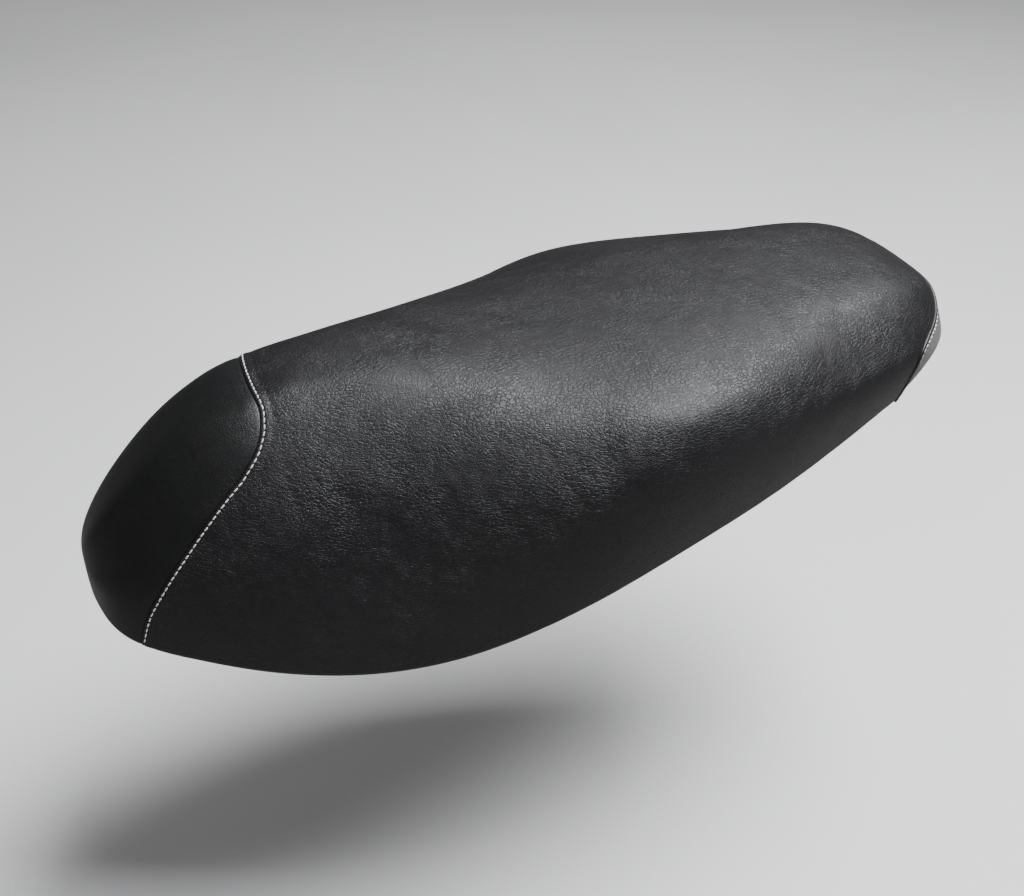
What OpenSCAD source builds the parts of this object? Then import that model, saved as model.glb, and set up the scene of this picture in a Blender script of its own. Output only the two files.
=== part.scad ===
// Dual scooter seat: moulded base pan, foam cushion, three-panel vinyl cover,
// front hinge, rear latch striker, rubber bumpers and document strap.
// Millimetres. +Z up, nose towards -Y, rider's left is +X, closed position.

/* [Seat shell] */
// Vinyl cover thickness
cover_t = 1.4; // [1:0.1:2]
// Roundness of the cushion's shoulders, as a factor
shoulder_round = 1; // [0.7:0.1:1.3]
// Depth of the ribs under the pan
rib_h = 8; // [4:1:9]
// Thickness of the ribs under the pan
rib_t = 2.5; // [2:0.5:4]

/* [Front hinge] */
// Hinge pin diameter
pin_d = 8; // [6:1:8]
// Frame bolt hole diameter
frame_hole_d = 6.6; // [6.4:0.1:7]
// Distance between the two frame bolt holes
frame_hole_gap = 54; // [52:1:56]
// Thickness of the hinge's steel plates
plate_t = 3; // [2.5:0.5:3]

/* [Rear striker] */
// Striker rod diameter
rod_d = 8; // [7:1:9]
// Distance between the striker legs' centres
striker_w = 34; // [30:1:36]
// Height of the striker bar's centre above the frame datum
striker_z = 91; // [88:1:100]

/* [Rubber bumpers] */
// Bumper pad diameter
bumper_d = 20; // [16:1:22]
// Bumper pad height
bumper_h = 8; // [6:1:9]

/* [Thread and staples] */
// Stitch pitch
stitch_pitch = 4.6; // [4:0.2:8]
// Thread diameter
thread_d = 1.0; // [0.8:0.1:1.4]
// Piping diameter
piping_d = 3.6; // [3:0.2:5]
// Number of staples along each side of the rim
staple_count = 27; // [15:1:40]

/* [Hidden] */
$fn = 48;
// The shell is laid out about the middle of the seat; place() then moves the
// datum to the underside of the hinge's frame bracket, between its two bolts.
datum = [0, -281, -3];
hinge = [0, -285, 20];   // hinge pin axis
seat_plate_z = 33;       // underside of the seat's hinge plate
striker_y = 265;
striker_plate_z = 121;

// Station table, nose to tail, as B-spline control values. At the two end
// stations the section closes: rim z shapes the lower edge, the rest the pole.
//        y   rim x, rim z, shoulder x, shoulder z, crown z, round, flank bulge
ST = [
  [-346,   0,  54,   0,  64,  64, 26,  0],
  [-337,  61,  33,  31,  83,  90, 26, 10],
  [-291,  91,  26,  44, 138, 144, 26, 16],
  [-237, 114,  12,  51, 172, 179, 14, 18],
  [-174, 129,   1,  58, 183, 189, 26, 18],
  [-113, 140,   4,  80, 181, 189, 26, 18],
  [ -60, 147,  19, 108, 173, 185, 23, 16],
  [  -5, 150,  38, 133, 169, 182, 24, 14],
  [  56, 144,  57, 146, 175, 186, 12, 10],
  [ 136, 129,  74, 138, 182, 192, 24,  6],
  [ 219, 105,  94, 118, 186, 196, 37,  6],
  [ 318,  70, 116,  92, 189, 199, 26, 10],
  [ 356,   0,  99,   0, 112, 112, 26,  0]];
NS = len(ST) - 1;
// Height of the pan floor at each station
FLOOR = [62, 59, 51, 37, 26, 27, 40, 60, 81, 100, 118, 134, 138];
// Seam lines: share of the way up the section, station number
NOSE_SEAM = [[0, 1.4], [0.07, 1.59], [0.15, 1.94], [0.22, 2.33], [0.29, 2.74], [0.35, 3.05], [0.44, 3.28], [0.54, 3.37], [0.68, 3.4], [1, 3.36]];
TAIL_SEAM = [[0, 10.52], [0.09, 10.53], [0.16, 10.56], [0.24, 10.61], [0.33, 10.72], [0.4, 10.84], [0.5, 10.97], [0.62, 11.05], [0.8, 11.1], [1, 11.12]];
// Rows of the section, from the rim (0) to the crown (1)
VR = [0, 0.03, 0.1, 0.18, 0.26, 0.33, 0.39, 0.45, 0.51, 0.57, 0.64, 0.72, 0.82, 0.91, 1];
NV = len(VR) - 1;
C_NOSE = 9;  // columns in the nose panel
C_MAIN = 26; // columns in the main panel
C_TAIL = 6;  // columns in the tail panel
C_ALL = C_NOSE + C_MAIN + C_TAIL;
// Pan rows: share of rim width, share of length, 0 = above the rim or 1 = above the floor line, height
PT = [[0.90, 0.965, 0, 6], [0.86, 0.945, 0, 10], [0.79, 0.91, 1, -2], [0.45, 0.86, 1, 3], [0, 0.83, 1, 4]];
PB = [[0.87, 0.95, 0, cover_t], [0.835, 0.93, 0, 4], [0.765, 0.895, 1, -6.5], [0.43, 0.85, 1, -0.5], [0, 0.82, 1, 0.5]];

// --- B-spline loft -------------------------------------------------------
function ub(t) = [pow(1 - t, 3) / 6, (3 * pow(t, 3) - 6 * t * t + 4) / 6, (-3 * pow(t, 3) + 3 * t * t + 3 * t + 1) / 6, pow(t, 3) / 6];
KN = [0, 0, 0, 0, 1/3, 2/3, 1, 1, 1, 1];
function bas(i, p, v) = p == 0 ? (v >= KN[i] && v < KN[i + 1] ? 1 : 0)
  : (KN[i + p] > KN[i] ? (v - KN[i]) / (KN[i + p] - KN[i]) * bas(i, p - 1, v) : 0)
  + (KN[i + p + 1] > KN[i + 1] ? (KN[i + p + 1] - v) / (KN[i + p + 1] - KN[i + 1]) * bas(i + 1, p - 1, v) : 0);
function vb(v) = let(w = min(v, 0.9999999)) [for (i = [0:5]) bas(i, 3, w)];
// Control section of one station, inset by t for the inner surface
function section(s, t) = let(k = t / cover_t, sx = 1 - 0.01 * k, y = s[0] * (1 - 0.004 * k))
  s[1] == 0 ? [for (z = [s[2], (s[2] + s[4]) / 2, s[4], s[4], s[4], s[4]]) [0, y, z + t]] :
  let(p0 = [s[1] * sx, y, s[2] + t], c = [s[3] * sx, y, s[4] - t], p5 = [0, y, s[5] - t],
    d0 = p0 - c, l0 = norm(d0), d5 = p5 - c, l5 = norm(d5), r = s[6] * shoulder_round)
  [p0, (p0 + c) / 2 + [-d0[2], 0, d0[0]] / l0 * s[7], c + d0 / l0 * min(r, 0.45 * l0), c + d5 / l5 * min(r, 0.45 * l5), [0.5 * c[0], y, p5[2]], p5];
// Ghost section beyond an end: heights mirror about the pole, but the rim's do not, so its edge stays round
function ghost(n, e) = [for (j = [0:5]) let(p = n[j], odd = 2 * e[j][2] - p[2], w = j == 0 ? 0 : 1) [-p[0], p[1], w * odd + (1 - w) * p[2]]];
function net(t) = let(n = [for (s = ST) section(s, t)]) concat([ghost(n[1], n[0])], n, [ghost(n[NS - 1], n[NS])]);
NET_OUT = net(0);
NET_IN = net(cover_t);
function surf(n, u, b) = let(k = min(floor(u), NS - 1), w = ub(u - k)) b * [for (j = [0:5]) w * [for (i = [0:3]) n[k + i][j]]];
V0 = vb(0);
function rim(u) = surf(NET_OUT, u, V0);
FC = concat([FLOOR[1]], FLOOR, [FLOOR[NS - 1]]);
function floor_z(u) = let(k = min(floor(u), NS - 1)) ub(u - k) * [for (i = [0:3]) FC[k + i]];
function pan_pt(u, r) = let(p = rim(u)) [p[0] * r[0], p[1] * r[1], r[3] + (r[2] == 0 ? p[2] : floor_z(u))];

// Station number of column c at height share v
function col_u(c, v) = c <= C_NOSE ? lookup(v, NOSE_SEAM) * c / C_NOSE
  : c <= C_NOSE + C_MAIN ? lookup(v, NOSE_SEAM) + (lookup(v, TAIL_SEAM) - lookup(v, NOSE_SEAM)) * (c - C_NOSE) / C_MAIN
  : lookup(v, TAIL_SEAM) + (NS - lookup(v, TAIL_SEAM)) * (c - C_NOSE - C_MAIN) / C_TAIL;
VB = [for (v = VR) vb(v)];
OUT = [for (c = [0:C_ALL]) [for (j = [0:NV]) surf(NET_OUT, col_u(c, VR[j]), VB[j])]];
INN = [for (c = [0:C_ALL]) [for (j = [0:NV]) surf(NET_IN, col_u(c, VR[j]), VB[j])]];
function mx(p) = [-p[0], p[1], p[2]];
function rev(a) = [for (i = [len(a) - 1:-1:0]) a[i]];
// Half section rows to a full one, left rim to right rim, through the crown
function both(h) = concat(h, [for (i = [len(h) - 2:-1:0]) mx(h[i])]);
function hem(c, dz) = pan_pt(col_u(c, 0), [0.87, 0.95, 0, dz]);

// Closed loops at one column: outside across, inside back
function cover_loop(c) = concat(both(concat([hem(c, 0)], OUT[c])), rev(both(concat([hem(c, cover_t)], INN[c]))));
function foam_loop(c) = concat(both([for (j = [1:NV]) INN[c][j]]), rev(both([for (r = PT) pan_pt(col_u(c, 0), r)])));
function pan_loop(c) = let(u = col_u(c, 0)) concat(both(concat([INN[c][0], INN[c][1]], [for (r = PT) pan_pt(u, r)])), rev(both([for (r = PB) pan_pt(u, r)])));

// Loft of closed loops, each with as many points outside as inside unless half says otherwise.
// From index flip to index last, quads are split on the other diagonal.
module loft(loops, flip = 1e6, cap0 = false, cap1 = false, last = 1e6) {
  n = len(loops[0]);
  m = len(loops);
  pts = [for (l = loops) for (p = l) p];
  function id(c, i) = c * n + (i % n);
  quads = [for (c = [0:m - 2]) for (i = [0:n - 1]) let(a = id(c, i), b = id(c, i + 1), d = id(c + 1, i), e = id(c + 1, i + 1))
    each (i < flip || i > last ? [[a, b, e], [a, e, d]] : [[a, b, d], [b, e, d]])];
  h = n / 2;
  function cap(c, f) = [for (i = [0:h - 2]) let(a = id(c, i), b = id(c, i + 1), d = id(c, n - 2 - i), e = id(c, n - 1 - i))
    each (f ? [[a, d, b], [a, e, d]] : [[a, b, d], [a, d, e]])];
  faces = concat(quads, cap0 ? cap(0, true) : [], cap1 ? cap(m - 1, false) : []);
  ok = [for (f = faces) if (norm(pts[f[0]] - pts[f[1]]) > 1e-4 && norm(pts[f[1]] - pts[f[2]]) > 1e-4 && norm(pts[f[2]] - pts[f[0]]) > 1e-4) f];
  polyhedron(points = pts, faces = ok, convexity = 10);
}
CL = 2 * (NV + 2) - 1; // points in the outer half of a cover loop
FL = 2 * NV - 1;
PL = 2 * (len(PT) + 2) - 1;

// Lower face of the pan at x, y
UY = [for (u = [0:0.1:NS]) [rim(u)[1], u]];
UX = [for (u = [0:0.1:NS]) [u, rim(u)[0]]];
SYB = [for (i = [4:-1:1]) [PB[i][0], PB[i][1]]];
DZB = [for (i = [4:-1:2]) [PB[i][0], PB[i][3]]];
function pan_ug(x, y, g = 0.4, n = 5) = let(u = lookup(y / lookup(g, SYB), UY)) n == 0 ? [u, g] : pan_ug(x, y, min(0.765, abs(x) / max(1, lookup(u, UX))), n - 1);
function pan_z(x, y) = let(q = pan_ug(x, y)) floor_z(q[0]) + lookup(q[1], DZB);

// --- Small shared shapes -------------------------------------------------
module place() { translate(-datum) children(); }
module at(p) { translate(p) children(); }
module mirrored_x() { children(); mirror([1, 0, 0]) children(); }
// Cylinder along X from x0 to x1
module xcyl(x0, x1, d) { translate([x0, 0, 0]) rotate([0, 90, 0]) cylinder(d = d, h = x1 - x0); }
// Plate of side profile pts (y, z), between x0 and x1
module side_plate(pts, x0, x1) { translate([x0, 0, 0]) rotate([90, 0, 90]) linear_extrude(x1 - x0) polygon(pts); }
// Running length along a path, as [length, point index] pairs
function run(p) = [for (i = 0, s = 0; i < len(p); s = s + (i + 1 < len(p) ? norm(p[i + 1] - p[i]) : 0), i = i + 1) [s, i]];
function along(p, i) = let(k = min(floor(i), len(p) - 2)) p[k] + (p[k + 1] - p[k]) * (i - k);
// Bars of length l and diameter d, at a pitch along a path
module stitches(p, pitch, l, d) {
  r = run(p);
  total = r[len(r) - 1][0];
  n = floor(total / pitch);
  for (k = [0:n - 1]) {
    s = (k + 0.5) * total / n;
    a = along(p, lookup(s - l / 2, r));
    b = along(p, lookup(s + l / 2, r));
    v = b - a;
    translate(a) rotate([0, acos(v[2] / norm(v)), atan2(v[1], v[0])]) cylinder(d = d, h = norm(v), $fn = 6);
  }
}
// Outward normal of the outer surface, and a path beside a seam, lifted by h
function normal(u, v) = let(e = 0.02, a = surf(NET_OUT, u - e, vb(v)), b = surf(NET_OUT, u + e, vb(v)),
  c = surf(NET_OUT, u, vb(max(0, v - e))), d = surf(NET_OUT, u, vb(min(1, v + e))), n = cross(b - a, d - c)) n / norm(n);
function beside(seam, du, h) = both([for (v = [0.004:0.0166:1.0001]) let(w = min(v, 0.9999), u = lookup(w, seam) + du, p = surf(NET_OUT, u, vb(w)) + normal(u, w) * h) v > 0.99 ? [0, p[1], p[2]] : p]);
// Path on the cover's facets at distance w behind the seam at column c, lifted by h
function seam_row(c, w, h) = let(a = both(OUT[c]), d = both(OUT[c + 1]), m = len(a) - 1)
  [for (i = [0:m]) let(t = cross(d[i] - a[i], a[min(m, i + 1)] - a[max(0, i - 1)]), f = w / norm(d[i] - a[i]), up = t / norm(t) * h)
    each (i < m ? [a[i] + f * (d[i] - a[i]) + up, a[i] + f * (d[i + 1] - a[i]) + up] : [a[i] + f * (d[i] - a[i]) + up])];
// Tube along a path: one ring a point, k sides
module tube(p, r, k) {
  m = len(p);
  rings = [for (i = [0:m - 1]) let(t0 = p[min(m - 1, i + 1)] - p[max(0, i - 1)], t = t0 / norm(t0), a0 = cross(t, [0, 1, 0.3]), a = a0 / norm(a0), b = cross(t, a))
    [for (j = [0:k - 1]) p[i] + r * (cos(360 * j / k) * a + sin(360 * j / k) * b)]];
  faces = concat([for (i = [0:m - 2]) for (j = [0:k - 1]) let(q = (j + 1) % k)
      each [[i * k + j, i * k + q, (i + 1) * k + q], [i * k + j, (i + 1) * k + q, (i + 1) * k + j]]],
    [[for (j = [k - 1:-1:0]) j]], [[for (j = [0:k - 1]) (m - 1) * k + j]]);
  polyhedron(points = [for (g = rings) each g], faces = faces, convexity = 6);
}

// --- Fasteners -----------------------------------------------------------
HINGE_XY = [[28, -262], [28, -224]];
STRIKER_XY = [[22, 252], [22, 278]];
module hex_screw(z) { translate([0, 0, z - 4.2]) cylinder(d = 9.2, h = 3.2, $fn = 6); translate([0, 0, z - 1]) cylinder(d = 11.5, h = 1); translate([0, 0, z]) cylinder(d = 5, h = 10); }
module insert(z) { translate([0, 0, z]) difference() { cylinder(d = 7.5, h = 8); translate([0, 0, -1]) cylinder(d = 5, h = 10); } }

// --- Seat pan ------------------------------------------------------------
PADS = [[72, -190, 18], [95, -10, 44], [80, 140, 88], [42, 262, 114]]; // x, y, boss foot
STRAP = [43, 35];
strap_z = pan_z(STRAP[0], STRAP[1]) - 12;
module cross_rib(y, x0, x1) {
  xs = [for (k = [0:12]) x0 + (x1 - x0) * k / 12];
  translate([0, y + rib_t / 2, 0]) rotate([90, 0, 0]) linear_extrude(rib_t)
    polygon(concat([for (x = xs) [x, pan_z(x, y) + 1.5]], [for (x = rev(xs)) [x, pan_z(x, y) - rib_h]]));
}
module long_rib(x, y0, y1) {
  ys = [for (k = [0:14]) y0 + (y1 - y0) * k / 14];
  side_plate(concat([for (y = ys) [y, pan_z(x, y) + 1.5]], [for (y = rev(ys)) [y, pan_z(x, y) - rib_h]]), x - rib_t / 2, x + rib_t / 2);
}
module boss(x, y, z, d) { translate([x, y, z]) cylinder(d = d, h = pan_z(x, y) + 1.6 - z); }
module seat_pan() {
  color([0.07, 0.07, 0.075]) difference() {
    union() {
      loft([for (c = [0:C_ALL]) pan_loop(c)], PL, last = PL + 2 * len(PB) - 3);
      for (r = [[-198, 66], [-130, 92], [-60, 100], [5, 100], [75, 94], [145, 80], [210, 60]]) cross_rib(r[0], -r[1], r[1]);
      mirrored_x() {
        long_rib(30, -196, 238);
        long_rib(64, -170, 160);
        long_rib(46, -252, -198);
        for (p = HINGE_XY) boss(p[0], p[1], seat_plate_z + plate_t, 13);
        for (p = STRIKER_XY) boss(p[0], p[1], striker_plate_z + plate_t, 13);
        for (p = PADS) boss(p[0], p[1], p[2], 16);
        boss(STRAP[0], STRAP[1], strap_z, 12);
      }
    }
    mirrored_x() {
      for (p = HINGE_XY) translate([p[0], p[1], seat_plate_z]) cylinder(d = 7.5, h = plate_t + 8.5);
      for (p = STRIKER_XY) translate([p[0], p[1], striker_plate_z]) cylinder(d = 7.5, h = plate_t + 8.5);
      for (p = PADS) translate([p[0], p[1], p[2] - 1]) cylinder(d = 8, h = 9);
      translate([STRAP[0], STRAP[1], strap_z - 1]) cylinder(d = 4, h = 9);
    }
  }
}

// --- Cushion and cover ---------------------------------------------------
module foam_cushion() { color([0.93, 0.9, 0.78]) loft([for (c = [0:C_ALL]) foam_loop(c)], FL - 1); }
module cover_panel(a, b, c0, c1) { loft([for (c = [a:b]) cover_loop(c)], CL, c0, c1); }
module cover_nose_panel() { color([0.035, 0.035, 0.04]) cover_panel(0, C_NOSE, false, true); }
module cover_main_panel() { color([0.05, 0.05, 0.055]) cover_panel(C_NOSE, C_NOSE + C_MAIN, true, true); }
module cover_tail_panel() { color([0.5, 0.5, 0.5]) cover_panel(C_NOSE + C_MAIN, C_ALL, true, false); }
module nose_stitching() { color([0.85, 0.85, 0.85]) stitches(seam_row(C_NOSE, 2.8, thread_d / 2 + 0.3), stitch_pitch, 0.72 * stitch_pitch, thread_d); }
module tail_stitching() { color([0.85, 0.85, 0.85]) stitches(seam_row(C_NOSE + C_MAIN, 4.6, thread_d / 2 + 0.3), stitch_pitch, 0.72 * stitch_pitch, thread_d); }
module tail_piping() { p = beside(TAIL_SEAM, 0, piping_d / 2 + 0.15); color([0.03, 0.03, 0.03]) tube([for (i = [0:2:len(p) - 1]) p[i]], piping_d / 2, 8); }
module rim_staples() {
  color([0.7, 0.7, 0.72]) mirrored_x() for (k = [0:staple_count - 1]) {
    u = 0.35 + (NS - 0.7) * k / (staple_count - 1);
    a = pan_pt(u, [0.91, 0.965, 0, -1.2]);
    b = pan_pt(u + 0.02, [0.91, 0.965, 0, -1.2]);
    v = b - a;
    translate(a) rotate([0, 0, atan2(v[1], v[0])]) rotate([0, -asin(v[2] / norm(v)), 0]) cube([10, 1.2, 0.7], center = true);
  }
}

// --- Hinge ---------------------------------------------------------------
ear_gap = 12;                       // half gap between the seat's ears
seat_ear = ear_gap + plate_t;       // outer face of the seat's ear
frame_ear = seat_ear + 1;           // inner face of the frame's ear
module hinge_frame_bracket() {
  color([0.62, 0.63, 0.65]) difference() {
    union() {
      translate([-37, -300, -3]) cube([74, 38, 3]);
      mirrored_x() {
        side_plate([[-298, -1], [-294, 20], [-276, 20], [-265, -1]], frame_ear, frame_ear + plate_t);
        at(hinge) xcyl(frame_ear, frame_ear + plate_t, 18);
      }
    }
    at(hinge) xcyl(-40, 40, pin_d + 0.1);
    for (s = [-1, 1]) translate([s * frame_hole_gap / 2, -281, -4]) cylinder(d = frame_hole_d, h = 6);
  }
}
clip_x = frame_ear + plate_t + 0.4;
module hinge_pin() {
  color([0.75, 0.75, 0.77]) at(hinge) difference() {
    union() { xcyl(-frame_ear - plate_t - 0.2, clip_x + 3.2, pin_d); xcyl(-frame_ear - plate_t - 3.2, -frame_ear - plate_t - 0.2, pin_d + 5); }
    difference() { xcyl(clip_x, clip_x + 1.2, pin_d + 4); xcyl(clip_x - 1, clip_x + 3, pin_d - 2); }
  }
}
module hinge_pin_clip() {
  color([0.35, 0.35, 0.37]) at(hinge) difference() {
    xcyl(clip_x + 0.1, clip_x + 1.1, pin_d + 7);
    xcyl(clip_x - 1, clip_x + 3, pin_d - 2);
    translate([clip_x - 1, -pin_d / 2 + 1.2, -20]) cube([4, pin_d - 2.4, 20]);
  }
}
module hinge_seat_bracket() {
  z = seat_plate_z;
  color([0.2, 0.2, 0.21]) difference() {
    union() {
      translate([-38, -272, z]) cube([76, 60, plate_t]);
      mirrored_x() {
        side_plate([[-290.5, 27.1], [-272, z + 1], [-246, z + 1], [-280, 12.5], [-289, 16]], ear_gap, seat_ear);
        at(hinge) xcyl(ear_gap, seat_ear, 18);
      }
    }
    at(hinge) xcyl(-30, 30, pin_d + 3);
    mirrored_x() for (p = HINGE_XY) translate([p[0], p[1], z - 1]) cylinder(d = 5.4, h = plate_t + 2);
    translate([0, -236, z - 1]) cylinder(d = 16, h = plate_t + 2);
  }
}
module hinge_bushes() {
  color([0.9, 0.9, 0.86]) mirrored_x() at(hinge) difference() {
    union() { xcyl(ear_gap, seat_ear, pin_d + 3); xcyl(seat_ear, seat_ear + 0.8, pin_d + 7); }
    xcyl(ear_gap - 1, seat_ear + 2, pin_d + 0.1);
  }
}
module hinge_screws() { color([0.75, 0.72, 0.6]) mirrored_x() for (p = HINGE_XY) translate([p[0], p[1], 0]) hex_screw(seat_plate_z); }
module hinge_inserts() { color([0.8, 0.65, 0.3]) mirrored_x() for (p = HINGE_XY) translate([p[0], p[1], 0]) insert(seat_plate_z + plate_t); }

// --- Striker -------------------------------------------------------------
module striker_plate() {
  color([0.62, 0.63, 0.65]) difference() {
    translate([-30, striker_y - 21, striker_plate_z]) cube([60, 42, plate_t]);
    mirrored_x() for (p = STRIKER_XY) translate([p[0], p[1], striker_plate_z - 1]) cylinder(d = 5.4, h = plate_t + 2);
    mirrored_x() translate([striker_w / 2, striker_y, striker_plate_z - 1]) cylinder(d = rod_d, h = plate_t + 2);
  }
}
module striker_hoop() {
  z = striker_z + datum[2];
  b = 10; // bend radius of the rod's centre line
  color([0.7, 0.71, 0.73]) translate([0, striker_y, 0]) union() {
    mirrored_x() {
      translate([striker_w / 2, 0, z + b]) cylinder(d = rod_d, h = striker_plate_z + plate_t - z - b);
      translate([striker_w / 2 - b, 0, z + b]) rotate([90, 0, 0]) rotate([0, 0, -90]) rotate_extrude(angle = 90) translate([b, 0]) circle(d = rod_d);
    }
    at([0, 0, z]) xcyl(-striker_w / 2 + b, striker_w / 2 - b, rod_d);
  }
}
module striker_screws() { color([0.75, 0.72, 0.6]) mirrored_x() for (p = STRIKER_XY) translate([p[0], p[1], 0]) hex_screw(striker_plate_z); }
module striker_inserts() { color([0.8, 0.65, 0.3]) mirrored_x() for (p = STRIKER_XY) translate([p[0], p[1], 0]) insert(striker_plate_z + plate_t); }

// --- Rubber --------------------------------------------------------------
module pad_pair(p) {
  color([0.09, 0.09, 0.09]) mirrored_x() translate([p[0], p[1], p[2] - bumper_h]) {
    cylinder(d = bumper_d - 2, h = 1);
    translate([0, 0, 1]) cylinder(d = bumper_d, h = bumper_h - 1);
    translate([0, 0, bumper_h]) cylinder(d = 7.8, h = 7);
  }
}
module bumpers_front() { pad_pair(PADS[0]); }
module bumpers_middle() { pad_pair(PADS[1]); }
module bumpers_rear() { pad_pair(PADS[2]); }
module bumpers_tail() { pad_pair(PADS[3]); }
module document_strap() {
  color([0.12, 0.12, 0.12]) translate([0, STRAP[1], strap_z - 2.1]) difference() {
    union() { translate([-STRAP[0], -9, 0]) cube([2 * STRAP[0], 18, 2]); mirrored_x() translate([STRAP[0], 0, 0]) cylinder(d = 18, h = 2); }
    mirrored_x() translate([STRAP[0], 0, -1]) cylinder(d = 4.2, h = 4);
  }
}
module strap_rivets() { color([0.75, 0.75, 0.77]) mirrored_x() translate([STRAP[0], STRAP[1], 0]) { translate([0, 0, strap_z - 3.6]) cylinder(d = 9, h = 1.4); translate([0, 0, strap_z - 2.2]) cylinder(d = 4, h = 9); } }

place() seat_pan();
place() foam_cushion();
place() cover_main_panel();
place() cover_nose_panel();
place() cover_tail_panel();
place() nose_stitching();
place() tail_piping();
place() tail_stitching();
place() rim_staples();
place() hinge_frame_bracket();
place() hinge_pin();
place() hinge_pin_clip();
place() hinge_seat_bracket();
place() hinge_bushes();
place() hinge_screws();
place() hinge_inserts();
place() striker_plate();
place() striker_hoop();
place() striker_screws();
place() striker_inserts();
place() bumpers_front();
place() bumpers_middle();
place() bumpers_rear();
place() bumpers_tail();
place() document_strap();
place() strap_rivets();
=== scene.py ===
import math

import bpy
import numpy as np
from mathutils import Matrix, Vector
from mathutils.kdtree import KDTree


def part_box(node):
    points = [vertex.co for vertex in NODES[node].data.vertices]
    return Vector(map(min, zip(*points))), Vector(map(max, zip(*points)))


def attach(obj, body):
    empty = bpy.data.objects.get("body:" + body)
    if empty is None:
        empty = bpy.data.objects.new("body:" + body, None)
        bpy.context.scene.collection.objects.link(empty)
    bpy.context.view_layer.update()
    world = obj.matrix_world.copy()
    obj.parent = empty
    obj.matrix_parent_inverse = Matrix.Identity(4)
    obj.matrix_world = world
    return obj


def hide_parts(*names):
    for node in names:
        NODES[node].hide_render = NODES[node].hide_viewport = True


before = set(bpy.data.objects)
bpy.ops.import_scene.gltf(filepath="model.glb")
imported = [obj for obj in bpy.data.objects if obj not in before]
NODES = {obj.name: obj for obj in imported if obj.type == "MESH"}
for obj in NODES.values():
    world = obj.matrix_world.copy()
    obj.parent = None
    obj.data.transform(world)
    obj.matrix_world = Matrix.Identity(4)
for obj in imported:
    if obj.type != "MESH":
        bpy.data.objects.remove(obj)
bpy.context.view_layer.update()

# ---------------------------------------------------------------- camera
# Millimetres below are in the row frame: origin between the two frame bolts.
cam_data = bpy.data.cameras.new("camera")
cam = bpy.data.objects.new("camera", cam_data)
bpy.context.scene.collection.objects.link(cam)
bpy.context.scene.camera = cam
AZ, EL, DIST = math.radians(69.185), math.radians(35.198), 0.93176
back = Vector((math.sin(AZ) * math.cos(EL), -math.cos(AZ) * math.cos(EL), math.sin(EL)))
cam.location = Vector((0.003242, 0.261252, 0.078734)) + back * DIST
cam.rotation_mode = "QUATERNION"
cam.rotation_quaternion = (-back).to_track_quat("-Z", "Y")
cam_data.lens = 42.04
cam_data.sensor_width = 36.0
cam_data.clip_start = 0.01
cam_data.clip_end = 100.0

# ---------------------------------------------------------------- shell surface
DY, DZ = 281.0, 3.0  # design layout to row frame
COVER = 1.4
# y, rim x, rim z, shoulder x, shoulder z, crown z, round, flank bulge
ST = np.array(
    [
        [-346, 0, 54, 0, 64, 64, 26, 0],
        [-337, 61, 33, 31, 83, 90, 26, 10],
        [-291, 91, 26, 44, 138, 144, 26, 16],
        [-237, 114, 12, 51, 172, 179, 14, 18],
        [-174, 129, 1, 58, 183, 189, 26, 18],
        [-113, 140, 4, 80, 181, 189, 26, 18],
        [-60, 147, 19, 108, 173, 185, 23, 16],
        [-5, 150, 38, 133, 169, 182, 24, 14],
        [56, 144, 57, 146, 175, 186, 12, 10],
        [136, 129, 74, 138, 182, 192, 24, 6],
        [219, 105, 94, 118, 186, 196, 37, 6],
        [318, 70, 116, 92, 189, 199, 26, 10],
        [356, 0, 99, 0, 112, 112, 26, 0],
    ],
    float,
)
NS = len(ST) - 1
FLOOR = [62, 59, 51, 37, 26, 27, 40, 60, 81, 100, 118, 134, 138]
NOSE_SEAM = [[0, 1.4], [0.07, 1.59], [0.15, 1.94], [0.22, 2.33], [0.29, 2.74], [0.35, 3.05], [0.44, 3.28], [0.54, 3.37], [0.68, 3.4], [1, 3.36]]
TAIL_SEAM = [[0, 10.52], [0.09, 10.53], [0.16, 10.56], [0.24, 10.61], [0.33, 10.72], [0.4, 10.84], [0.5, 10.97], [0.62, 11.05], [0.8, 11.1], [1, 11.12]]


def norm(a):
    return np.linalg.norm(a, axis=-1, keepdims=True)


def unit(a):
    return a / np.maximum(norm(a), 1e-12)


def section(s, t):
    k = t / COVER
    sx = 1 - 0.01 * k
    y = s[0] * (1 - 0.004 * k)
    if s[1] == 0:
        return np.array([[0, y, z + t] for z in (s[2], (s[2] + s[4]) / 2, s[4], s[4], s[4], s[4])])
    p0 = np.array([s[1] * sx, y, s[2] + t])
    c = np.array([s[3] * sx, y, s[4] - t])
    p5 = np.array([0, y, s[5] - t])
    d0, d5 = p0 - c, p5 - c
    l0, l5 = np.linalg.norm(d0), np.linalg.norm(d5)
    out = np.array([-d0[2], 0, d0[0]]) / l0 * s[7]
    return np.array([p0, (p0 + c) / 2 + out, c + d0 / l0 * min(s[6], 0.45 * l0), c + d5 / l5 * min(s[6], 0.45 * l5), [0.5 * c[0], y, p5[2]], p5])


def ghost(n, e):
    g = n.copy()
    g[:, 0] *= -1
    g[1:, 2] = 2 * e[1:, 2] - n[1:, 2]
    return g


def make_net(t):
    n = [section(s, t) for s in ST]
    a = np.array([ghost(n[1], n[0])] + n + [ghost(n[NS - 1], n[NS])])
    a[..., 1] += DY
    a[..., 2] += DZ
    return a


NET = make_net(0.0)


def ub(u):
    u = np.clip(np.asarray(u, float), 0, NS)
    k = np.minimum(np.floor(u).astype(int), NS - 1)
    t = u - k
    w = np.stack([(1 - t) ** 3 / 6, (3 * t**3 - 6 * t * t + 4) / 6, (-3 * t**3 + 3 * t * t + 3 * t + 1) / 6, t**3 / 6], -1)
    return k, w


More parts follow.
